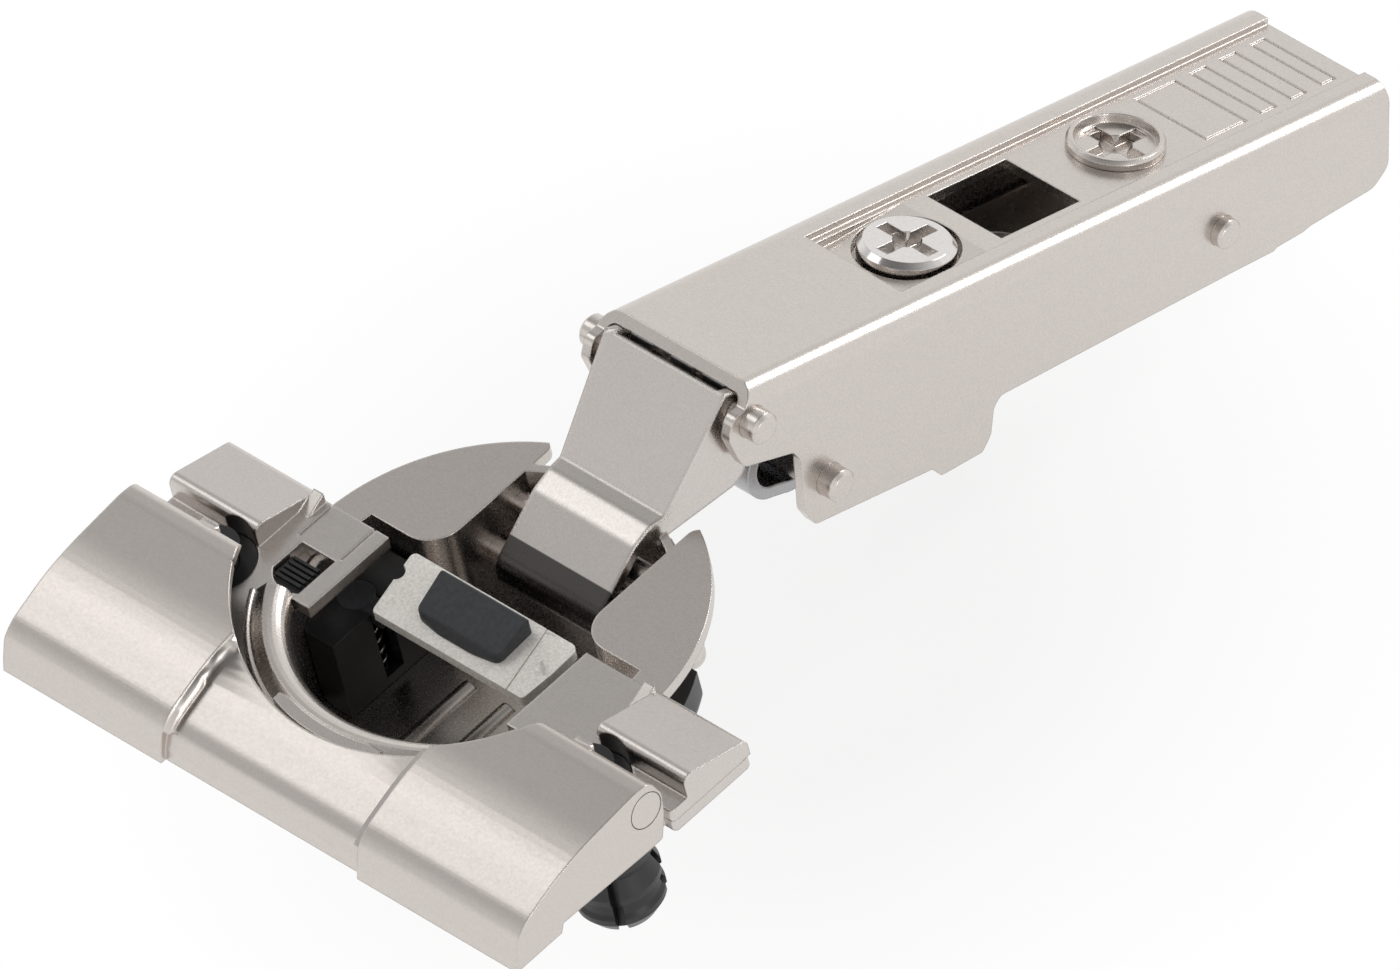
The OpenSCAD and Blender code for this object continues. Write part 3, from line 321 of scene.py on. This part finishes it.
NICKEL = Finish("nickel plated sheet", (0.63, 0.585, 0.55), 0.27, edge=0.0002)
NICKEL_FLAT = Finish("nickel plated plate", (0.62, 0.58, 0.55), 0.29, edge=0.00028)
FLAP_STEEL = Finish("nickel plated flap", (0.62, 0.575, 0.54), 0.30, edge=0.00025)
# The link's rolled end is darkened below 9.1 mm along +Y: painted shade.
LINK_STEEL = Finish("nickel plated link", (0.62, 0.58, 0.55), 0.27, edge=0.0005,
                    painted_shade_below=9.1 * MM)
# The inner strap is the same nickel plating, given a darker, bluer colour as painted shade and
# reflection.
STRAP_STEEL_PAINTED_SHADE = Finish("nickel plated strap, painted shade", (0.42, 0.42, 0.43), 0.27, edge=0.0003)
BRIGHT = Finish("polished nickel", (0.72, 0.69, 0.67), 0.13, grain_depth=0.000002, rough_spread=0.04)
BLASTED = Finish("blasted steel", (0.90, 0.86, 0.81), 0.50, 0.45, Grain.SPECKLED,
                 0.00016, 0.00001, 0.13)
SPRING_STEEL = Finish("spring steel", (0.30, 0.30, 0.31), 0.30, grain=Grain.BRUSHED_Y)
BLACK_MOULD = Finish("black moulding", (0.010, 0.010, 0.011), 0.38, 0.0,
                     grain_size=0.0004, tone_spread=0.2)
DARK_MOULD = Finish("dark pad", (0.026, 0.028, 0.032), 0.5, 0.0, Grain.SPECKLED,
                    0.0003, 0.00001, 0.25)
SHADOW = Finish("dark gap", (0.02, 0.018, 0.017), 0.7, 0.0)


@dataclass
class SubAssembly:
    """A group of solids that belong together.

    Attributes:
        title: The group's name in the log.
        finishes: The finish of each solid.
    """

    title: str
    finishes: dict[str, Finish] = field(default_factory=dict)

    def build(self, nodes: dict[str, bpy.types.Object]) -> None:
        """Dresses the solids and adds the group's pieces.

        Args:
            nodes: The frame's solids by name.
        """
        for name, finish in self.finishes.items():
            solid = nodes[name]
            solid.data.materials.clear()
            solid.data.materials.append(finish.material())
        LOG.info("%s: %d solids dressed", self.title, len(self.finishes))
        self.add_pieces(nodes)

    def add_pieces(self, nodes: dict[str, bpy.types.Object]) -> None:
        """Adds the group's extra pieces; the plain group has none."""


@dataclass
class Shell:
    """A solid's sheet metal, taken over with rolled-smooth shading and pressed-in details.

    Attributes:
        node: The solid that it stands for.
        name: The piece's name.
        body: The body that it rides on.
        slot: The record's material slot.
        finish: Its finish.
        crease: Smallest angle that stays a sharp edge, in degrees.
    """

    node: str
    name: str
    body: Body
    # slot: The record's material slot; not used.
    slot: str
    finish: Finish
    crease: float = 24.0

    def make(self, nodes: dict[str, bpy.types.Object],
             cutters: tuple[bpy.types.Object, ...] = ()) -> bpy.types.Object:
        """Builds the shell and puts it in the solid's place.

        Args:
            nodes: The frame's solids by name.
            cutters: Solids that are cut out of it; they are used up.

        Returns:
            The new piece.
        """
        work = bmesh.new()
        work.from_mesh(nodes[self.node].data)
        bmesh.ops.remove_doubles(work, verts=work.verts, dist=WELD)
        for face in work.faces:
            face.smooth = True
        data = bpy.data.meshes.new(self.name)
        work.to_mesh(data)
        work.free()
        piece = bpy.data.objects.new(self.name, data)
        bpy.context.collection.objects.link(piece)
        for cutter in cutters:
            cut_out(piece, cutter)
        piece.data.set_sharp_from_angle(angle=math.radians(self.crease))
        weighted = piece.modifiers.new("flat faces stay flat", "WEIGHTED_NORMAL")
        weighted.keep_sharp = True
        weighted.weight = FLAT_FACE_WEIGHT
        piece.data.materials.clear()
        piece.data.materials.append(self.finish.material())
        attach(piece, self.body.value)
        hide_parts(self.node)
        LOG.info("built %s", self.name)
        return piece


def cut_out(piece: bpy.types.Object, cutter: bpy.types.Object) -> None:
    """Cuts one solid out of a piece and removes the cutter.

    Args:
        piece: The piece, changed in place.
        cutter: The solid that is taken away.
    """
    modifier = piece.modifiers.new("cut", "BOOLEAN")
    modifier.operation = "DIFFERENCE"
    modifier.solver = "EXACT"
    modifier.object = cutter
    graph = bpy.context.evaluated_depsgraph_get()
    cut = bpy.data.meshes.new_from_object(piece.evaluated_get(graph))
    piece.modifiers.clear()
    piece.data = cut
    for face in cut.polygons:
        face.use_smooth = True
    bpy.data.objects.remove(cutter, do_unlink=True)


def mesh_object(name: str, work: bmesh.types.BMesh, smooth: bool) -> bpy.types.Object:
    """Turns a closed mesh in the making into a linked object.

    Args:
        name: The object's name.
        work: The mesh in the making; it is used up.
        smooth: True if its faces are shaded as one round surface.

    Returns:
        The new object.
    """
    bmesh.ops.recalc_face_normals(work, faces=work.faces)
    for face in work.faces:
        face.smooth = smooth
    data = bpy.data.meshes.new(name)
    work.to_mesh(data)
    work.free()
    made = bpy.data.objects.new(name, data)
    bpy.context.collection.objects.link(made)
    return made


def join_rings(work: bmesh.types.BMesh, first: list[bmesh.types.BMVert],
               second: list[bmesh.types.BMVert]) -> None:
    """Closes the band between two rings of the same count.

    Args:
        work: The mesh in the making.
        first: One ring's points.
        second: The other ring's points.
    """
    count = len(first)
    for k in range(count):
        work.faces.new((first[k], first[(k + 1) % count], second[(k + 1) % count], second[k]))


def prism(name: str, corners: list[Vector], tip: list[Vector]) -> bpy.types.Object:
    """Builds a closed solid between two outlines of the same count.

    Args:
        name: The object's name.
        corners: The first outline.
        tip: The second outline.

    Returns:
        The new object.
    """
    work = bmesh.new()
    first = [work.verts.new(p) for p in corners]
    second = [work.verts.new(p) for p in tip]
    work.faces.new(list(reversed(first)))
    work.faces.new(second)
    join_rings(work, first, second)
    return mesh_object(name, work, smooth=False)


@dataclass
class Coil:
    """A wound wire spring.

    Attributes:
        name: The piece's name.
        wire: Radius of the wire.
        radius: Mean radius of the coil.
        turns: Number of turns.
        start: One end of the coil's axis.
        end: The other end of the axis.
        closed: Turns that lie close together at each end.
        closed_pitch: Rise of those turns, as a share of an even coil's.
        steps_a_turn: Rings of points in one turn.
        sides: Points round the wire.
    """

    name: str
    wire: float
    radius: float
    turns: float
    start: Vector
    end: Vector
    closed: float = 0.8
    closed_pitch: float = 0.25
    steps_a_turn: int = 20
    sides: int = 8

    def make(self, finish: Finish) -> bpy.types.Object:
        """Builds the coil as a tube mesh.

        Args:
            finish: The wire's finish.

        Returns:
            The new object.
        """
        axis = self.end - self.start
        length = axis.length - 2 * self.wire
        turn_frame = axis.to_track_quat("Z", "Y").to_matrix().to_4x4()
        steps = int(self.turns * self.steps_a_turn)
        work = bmesh.new()
        rings = []
        for i in range(steps + 1):
            t = i / steps
            angle = 2 * math.pi * self.turns * t
            height = self.wire + length * self._rise(t)
            centre = Vector((self.radius * math.cos(angle), self.radius * math.sin(angle), height))
            outward = Vector((math.cos(angle), math.sin(angle), 0))
            ring = []
            for k in range(self.sides):
                a = 2 * math.pi * k / self.sides
                point = centre + self.wire * (outward * math.cos(a) + Vector((0, 0, 1)) * math.sin(a))
                ring.append(work.verts.new(Matrix.Translation(self.start) @ turn_frame @ point))
            rings.append(ring)
        for first, second in zip(rings, rings[1:]):
            join_rings(work, first, second)
        work.faces.new(list(reversed(rings[0])))
        work.faces.new(rings[-1])
        made = mesh_object(self.name, work, smooth=True)
        made.data.materials.append(finish.material())
        LOG.info("built %s", self.name)
        return made

    def _rise(self, t: float) -> float:
        """Gives the share of the length reached at a share of the turns.

        Args:
            t: Share of the turns, 0 to 1.

        Returns:
            The share of the length, flat near both ends.
        """
        flat = self.closed / self.turns
        if t < flat:
            return t * self.closed_pitch
        if t > 1 - flat:
            return 1.0 - (1 - t) * self.closed_pitch
        low, high = flat * self.closed_pitch, 1 - flat * self.closed_pitch
        return low + (high - low) * (t - flat) / (1 - 2 * flat)


@dataclass
class Damper(SubAssembly):
    """Housing, plunger and return spring of the soft close.

    Attributes:
        spring_wire: Radius of the return spring's wire.
        spring_radius: Mean radius of its coil.
        spring_turns: Its number of turns.
        plunger_stroke: How far the plunger goes down as the hinge closes; not used.
        plate_front: A point (Y, Z) at the front of the sloping plate's top.
        plate_rear: A point (Y, Z) at its rear.
        seam: The two ends (X, Y) of the thin seam.
        seam_width: The seam's width.
        seam_depth: The seam's depth.
        dimple: The middle (X, Y) of the six-sided dimple.
        dimple_r: The dimple's radius, about that of its rim.
        dimple_depth: The dimple's depth.
        dimple_rim: The cutter's radius above the plate, as a share of dimple_r.
        dimple_floor: The cutter's radius at the bottom, as a share of dimple_r.
        dimple_turn: The angle of its first corner, in radians.
        clear: How far the cutters stand above the plate.
    """

    spring_wire: float = 0.15 * MM
    spring_radius: float = 1.25 * MM
    spring_turns: float = 7
    plunger_stroke: float = 6.22 * MM
    plate_front: tuple[float, float] = (-4.75 * MM, 0.1 * MM)
    plate_rear: tuple[float, float] = (1.74 * MM, 1.15 * MM)
    seam: tuple[tuple[float, float], tuple[float, float]] = ((7.4 * MM, -6.0 * MM), (5.9 * MM, 3.0 * MM))
    seam_width: float = 0.14 * MM
    seam_depth: float = 0.25 * MM
    dimple: tuple[float, float] = (8.65 * MM, -1.4 * MM)
    dimple_r: float = 0.95 * MM
    dimple_depth: float = 0.55 * MM
    dimple_rim: float = 1.15
    dimple_floor: float = 0.3
    dimple_turn: float = 0.4
    clear: float = 0.2 * MM

    def add_pieces(self, nodes: dict[str, bpy.types.Object]) -> None:
        """Adds the pressed plate and winds the plunger's return spring."""
        self._pressed_plate(nodes)
        low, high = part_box("damper_spring")
        middle = (low + high) / 2
        coil = Coil("plunger_spring", self.spring_wire, self.spring_radius, self.spring_turns,
                    Vector((middle.x, middle.y, low.z)), Vector((middle.x, middle.y, high.z)))
        piece = coil.make(BRIGHT)
        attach(piece, Body.CUP.value)
        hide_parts("damper_spring")
        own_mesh(piece)

    def _top(self, x: float, y: float, above: float = 0.0) -> Vector:
        """Gives a point on the plate's sloping top, or a little above it."""
        slope = (self.plate_rear[1] - self.plate_front[1]) / (self.plate_rear[0] - self.plate_front[0])
        return Vector((x, y, self.plate_front[1] + slope * (y - self.plate_front[0]) + above))

    def _pressed_plate(self, nodes: dict[str, bpy.types.Object]) -> None:
        """Cuts the seam and the six-sided dimple into the plate across the mouth."""
        (x0, y0), (x1, y1) = self.seam
        half = 0.5 * self.seam_width
        outline = ((x0 - half, y0), (x0 + half, y0), (x1 + half, y1), (x1 - half, y1))
        seam = prism("seam cutter", [self._top(x, y, self.clear) for x, y in outline],
                     [self._top(x, y, -self.seam_depth) for x, y in outline])
        rim = self._hexagon(self.dimple_rim * self.dimple_r, 0.5 * self.clear)
        floor = self._hexagon(self.dimple_floor * self.dimple_r, -self.dimple_depth)
        plate = Shell("actuator_plate", "pressed_plate", Body.ACTUATOR, "blasted_steel", BLASTED)
        plate.make(nodes, (seam, prism("dimple cutter", rim, floor)))

    def _hexagon(self, radius: float, above: float) -> list[Vector]:
        """Gives a six-sided outline round the dimple's middle.

        Args:
            radius: Its radius.
            above: Its height above the plate's top.

        Returns:
            The six corners.
        """
        corners = []
        for k in range(6):
            angle = math.pi * k / 3 + self.dimple_turn
            corners.append(self._top(self.dimple[0] + radius * math.cos(angle),
                                     self.dimple[1] + radius * math.sin(angle), above))
        return corners


@dataclass
class Flap(SubAssembly):
    """The long front flap with its two pivots.

    Attributes:
        half_width: Half the flap's width.
        pivot: The pivots' axis (Y, Z).
        pivot_r: A pivot's radius.
        gap: Width of the dark joint round it.
        inset: How far the joint's middle lies inside the flap's side.
        depth: Half the joint's depth.
        steps: Rings of points round the joint.
        sides: Points in one ring.
    """

    half_width: float = 30.95 * MM
    pivot: tuple[float, float] = (-10.7 * MM, 4.8 * MM)
    pivot_r: float = 1.75 * MM
    gap: float = 0.09 * MM
    inset: float = 0.02 * MM
    depth: float = 0.03 * MM
    steps: int = 64
    sides: int = 8

    def add_pieces(self, nodes: dict[str, bpy.types.Object]) -> None:
        """Adds the flap's rolled shell and the dark gap round each pivot head."""
        Shell("insert_flap", "flap_shell", Body.FLAP, "nickel_steel", FLAP_STEEL).make(nodes)
        for side, name in ((-1, "pivot_gap_left"), (1, "pivot_gap_right")):
            self._pivot_gap(side, name)

    def _pivot_gap(self, side: int, name: str) -> None:
        """Lays a thin dark ring in the joint between the flap and a pivot head.

        Args:
            side: -1 for the left end and 1 for the right.
            name: The piece's name.
        """
        work = bmesh.new()
        rings = []
        for i in range(self.steps):
            angle = 2 * math.pi * i / self.steps
            ring = []
            for k in range(self.sides):
                a = 2 * math.pi * k / self.sides
                r = self.pivot_r + 0.5 * self.gap * math.cos(a)
                x = side * (self.half_width - self.inset + self.depth * math.sin(a))
                y = self.pivot[0] + r * math.cos(angle)
                z = self.pivot[1] + r * math.sin(angle)
                ring.append(work.verts.new((x, y, z)))
            rings.append(ring)
        for first, second in zip(rings, rings[1:] + rings[:1]):
            join_rings(work, first, second)
        ring_piece = mesh_object(name, work, smooth=True)
        ring_piece.data.materials.append(SHADOW.material())
        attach(ring_piece, Body.FLAP.value)
        LOG.info("built %s", name)


@dataclass
class Links(SubAssembly):
    """The wide outer link and the curved inner strap."""

    def add_pieces(self, nodes: dict[str, bpy.types.Object]) -> None:
        """Adds the rolled shells of both links."""
        Shell("outer_link", "link_shell", Body.OUTER_LINK, "nickel_steel", LINK_STEEL).make(nodes)
        Shell("inner_link", "strap_shell", Body.INNER_LINK, "nickel_steel", STRAP_STEEL_PAINTED_SHADE).make(nodes)


@dataclass
class RearClip(SubAssembly):
    """Clip base, snap lever and the lever's spring.

    Attributes:
        spring_wire: Radius of the spring's wire.
        spring_radius: Mean radius of its coil.
        spring_turns: Its number of turns.
    """

    spring_wire: float = 0.4 * MM
    spring_radius: float = 1.5 * MM
    spring_turns: float = 4

    def add_pieces(self, nodes: dict[str, bpy.types.Object]) -> None:
        """Winds the lever's spring in place of its plain solid."""
        low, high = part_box("clip_spring")
        middle = (low + high) / 2
        coil = Coil("lever_spring", self.spring_wire, self.spring_radius, self.spring_turns,
                    Vector((low.x, middle.y, middle.z)), Vector((high.x, middle.y, middle.z)))
        piece = coil.make(BRIGHT)
        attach(piece, Body.LEVER.value)
        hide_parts("clip_spring")


@dataclass(frozen=True)
class SoftBox:
    """One square lamp that faces the hinge.

    Attributes:
        name: The lamp's name.
        offset: Its place from the hinge's middle.
        size: Side of the square.
        power: Its power, in watts.
    """

    name: str
    offset: tuple[float, float, float]
    size: float
    power: float

    def hang(self, middle: Vector) -> None:
        """Hangs the lamp.

        Args:
            middle: The point that it faces.
        """
        data = bpy.data.lights.new(self.name, "AREA")
        data.size = self.size
        data.energy = self.power
        lamp = bpy.data.objects.new(self.name, data)
        lamp.location = middle + Vector(self.offset)
        lamp.rotation_mode = "QUATERNION"
        lamp.rotation_quaternion = (middle - lamp.location).to_track_quat("-Z", "Y")
        bpy.context.collection.objects.link(lamp)


@dataclass
class Studio:
    """Floor, lights, world and camera.

    Attributes:
        lens: Focal length of the long lens, in millimetres.
        frame_width: Width of the picture at the object, in metres.
        aim_right: The picture's middle, to the right of the cup's axis.
        aim_up: The picture's middle, above the cup's axis.
        wall_top: Height on the sky ball at which the white wall ends.
        dusk_height: Height at which the wall has turned grey.
        dusk: The grey there.
        ceiling: The colour straight above.
        middle: The point that the lamps face.
        boxes: The three lamps.
        sensor: Width of the camera's sensor, in millimetres.
        clip_near: Nearest distance that the camera sees.
        clip_past: How far past the hinge it sees.
        floor_r: Radius of the round floor.
        floor_y: The floor's middle along +Y.
        floor_drop: How far the floor lies under the hinge.
        floor_tone: The floor's colour.
        fade: Radii between which the floor fades into the white background.
        fade_share: The share of white at the fade's inner radius.
        right: The picture's right, in the part's frame.
        up: The picture's up, in the part's frame.
    """

    lens: float = 1000.0
    frame_width: float = 118.64 * MM
    aim_right: float = 18.22 * MM
    aim_up: float = 11.59 * MM
    wall_top: float = 0.30
    dusk_height: float = 0.68
    dusk: Colour = (0.55, 0.55, 0.55)
    ceiling: Colour = (0.16, 0.16, 0.16)
    middle: Vector = field(default_factory=lambda: Vector((0.0, 0.035, 0.0)))
    boxes: tuple[SoftBox, ...] = (SoftBox("left", (-0.375, -0.11, 0.52), 0.26, 0.30),
                                  SoftBox("rim", (0.12, 0.62, 0.34), 0.22, 1.1),
                                  SoftBox("right", (0.62, -0.05, 0.16), 0.20, 0.5))
    sensor: float = 36.0
    clip_near: float = 0.1
    clip_past: float = 2.0
    floor_r: float = 1.2
    floor_y: float = 0.03
    floor_drop: float = 0.5 * MM
    floor_tone: Colour = (0.92, 0.92, 0.92)
    fade: tuple[float, float] = (0.02, 0.062)
    fade_share: float = 0.80
    right: Vector = field(default_factory=lambda: Vector((0.707107, 0.683013, -0.183013)))
    up: Vector = field(default_factory=lambda: Vector((-0.408248, 0.605663, 0.683013)))

    def build(self) -> None:
        """Makes the camera first and then the floor, the world and the lights."""
        bpy.context.scene.view_settings.view_transform = "Standard"
        self._camera()
        self._floor()
        self._world()
        for box in self.boxes:
            box.hang(self.middle)
        LOG.info("studio built")

    def _camera(self) -> None:
        """Places the camera at the photograph's angle."""
        data = bpy.data.cameras.new("camera")
        data.lens = self.lens
        data.sensor_width = self.sensor
        back = self.right.cross(self.up)
        distance = self.lens * self.frame_width / data.sensor_width
        target = self.right * self.aim_right + self.up * self.aim_up
        place = Matrix((self.right, self.up, back)).transposed().to_4x4()
        place.translation = target + back * distance
        data.clip_start = self.clip_near
        data.clip_end = distance + self.clip_past
        camera = bpy.data.objects.new("camera", data)
        camera.matrix_world = place
        bpy.context.collection.objects.link(camera)
        bpy.context.scene.camera = camera

    def _floor(self) -> None:
        """Lays a pale round floor whose edge fades into the white background."""
        low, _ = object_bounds()
        work = bmesh.new()
        bmesh.ops.create_circle(work, cap_ends=True, radius=self.floor_r, segments=96)
        data = bpy.data.meshes.new("floor")
        work.to_mesh(data)
        work.free()
        floor = bpy.data.objects.new("floor", data)
        floor.location = (0.0, self.floor_y, low[2] - self.floor_drop)
        bpy.context.collection.objects.link(floor)
        data.materials.append(self._floor_material())
        floor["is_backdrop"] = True

    def _floor_material(self) -> bpy.types.Material:
        """Builds the floor's pale finish.

        Returns:
            The floor's material.
        """
        made = bpy.data.materials.new("pale floor")
        made.use_nodes = True
        tree = made.node_tree
        shader = tree.nodes["Principled BSDF"]
        input_socket(shader, "Base Color", (*self.floor_tone, 1))
        input_socket(shader, "Roughness", 0.9)
        output = tree.nodes["Material Output"]
        white = tree.nodes.new("ShaderNodeEmission")
        white.inputs["Color"].default_value = (1, 1, 1, 1)
        coordinates = tree.nodes.new("ShaderNodeTexCoord")
        reach = tree.nodes.new("ShaderNodeVectorMath")
        reach.operation = "LENGTH"
        tree.links.new(coordinates.outputs["Object"], reach.inputs[0])
        fade = tree.nodes.new("ShaderNodeMapRange")
        input_socket(fade, "From Min", self.fade[0])
        input_socket(fade, "From Max", self.fade[1])
        input_socket(fade, "To Min", self.fade_share)
        input_socket(fade, "To Max", 1.0)
        tree.links.new(reach.outputs["Value"], fade.inputs["Value"])
        seen = tree.nodes.new("ShaderNodeMath")
        seen.operation = "MULTIPLY"
        tree.links.new(fade.outputs["Result"], seen.inputs[0])
        tree.links.new(self._sight_rays(tree), seen.inputs[1])
        mix = tree.nodes.new("ShaderNodeMixShader")
        tree.links.new(seen.outputs["Value"], mix.inputs["Fac"])
        tree.links.new(shader.outputs["BSDF"], mix.inputs[1])
        tree.links.new(white.outputs["Emission"], mix.inputs[2])
        tree.links.new(mix.outputs["Shader"], output.inputs["Surface"])
        return made

    def _sight_rays(self, tree: bpy.types.NodeTree) -> bpy.types.NodeSocket:
        """Picks the rays that see the white background, directly or in a reflection.

        Args:
            tree: The node tree of the floor or the world.

        Returns:
            The socket that is 1 for these rays.
        """
        rays = tree.nodes.new("ShaderNodeLightPath")
        total = rays.outputs["Is Camera Ray"]
        for name in ("Is Glossy Ray", "Is Transmission Ray"):
            add = tree.nodes.new("ShaderNodeMath")
            add.operation = "ADD"
            add.use_clamp = True
            tree.links.new(total, add.inputs[0])
            tree.links.new(rays.outputs[name], add.inputs[1])
            total = add.outputs["Value"]
        return total

    def _world(self) -> None:
        """Surrounds the hinge with a white wall that darkens towards the ceiling."""
        world = bpy.data.worlds.new("studio")
        world.use_nodes = True
        tree = world.node_tree
        tree.nodes.clear()
        coordinates = tree.nodes.new("ShaderNodeTexCoord")
        split = tree.nodes.new("ShaderNodeSeparateXYZ")
        tree.links.new(coordinates.outputs["Generated"], split.inputs["Vector"])
        ramp = tree.nodes.new("ShaderNodeValToRGB")
        ends = ramp.color_ramp.elements
        ends[0].position, ends[0].color = self.wall_top, (1, 1, 1, 1)
        ends[1].position, ends[1].color = 1.0, (*self.ceiling, 1)
        middle = ramp.color_ramp.elements.new(self.dusk_height)
        middle.color = (*self.dusk, 1)
        tree.links.new(split.outputs["Z"], ramp.inputs["Fac"])
        soft = tree.nodes.new("ShaderNodeBackground")
        tree.links.new(ramp.outputs["Color"], soft.inputs["Color"])
        input_socket(soft, "Strength", 1.0)
        output = tree.nodes.new("ShaderNodeOutputWorld")
        tree.links.new(soft.outputs["Background"], output.inputs["Surface"])
        bpy.context.scene.world = world


def main() -> None:
    """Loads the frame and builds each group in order."""
    logging.basicConfig(level=logging.INFO, format="%(name)s: %(message)s")
    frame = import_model()
    nodes = frame["nodes"]
    groups = [
        SubAssembly("cup", {"hinge_cup": NICKEL, "cup_pin_outer": NICKEL, "cup_pin_inner": NICKEL,
                            "housing_rivets": NICKEL}),
        SubAssembly("press-in plate", {"dowel_sheet": NICKEL_FLAT, "boss_plate": NICKEL_FLAT,
                                       "dowels": BLACK_MOULD, "expander_left": BLACK_MOULD,
                                       "expander_right": BLACK_MOULD, "switch_slider": BLACK_MOULD}),
        Flap("flap", {"flap_pins": FLAP_STEEL, "insert_flap": FLAP_STEEL}),
        Damper("damper", {"damper_housing": BLACK_MOULD, "damper_piston": DARK_MOULD,
                          "actuator_pad": DARK_MOULD, "damper_spring": BRIGHT,
                          "actuator_plate": BLASTED}),
        Links("links", {"outer_link": LINK_STEEL, "inner_link": STRAP_STEEL_PAINTED_SHADE}),
        SubAssembly("arm", {"hinge_arm": NICKEL, "arm_pin_front": NICKEL, "arm_pin_lower": NICKEL,
                            "closing_spring": SPRING_STEEL, "guide_pin": NICKEL, "side_screw": BRIGHT,
                            "depth_screw": NICKEL, "carrier": NICKEL_FLAT}),
        RearClip("rear clip", {"clip_base": NICKEL_FLAT, "clip_lever": NICKEL, "clip_pin": NICKEL,
                               "clip_spring": BRIGHT}),
    ]
    for group in groups:
        group.build(nodes)
    Studio().build()


if __name__ == "__main__":
    main()
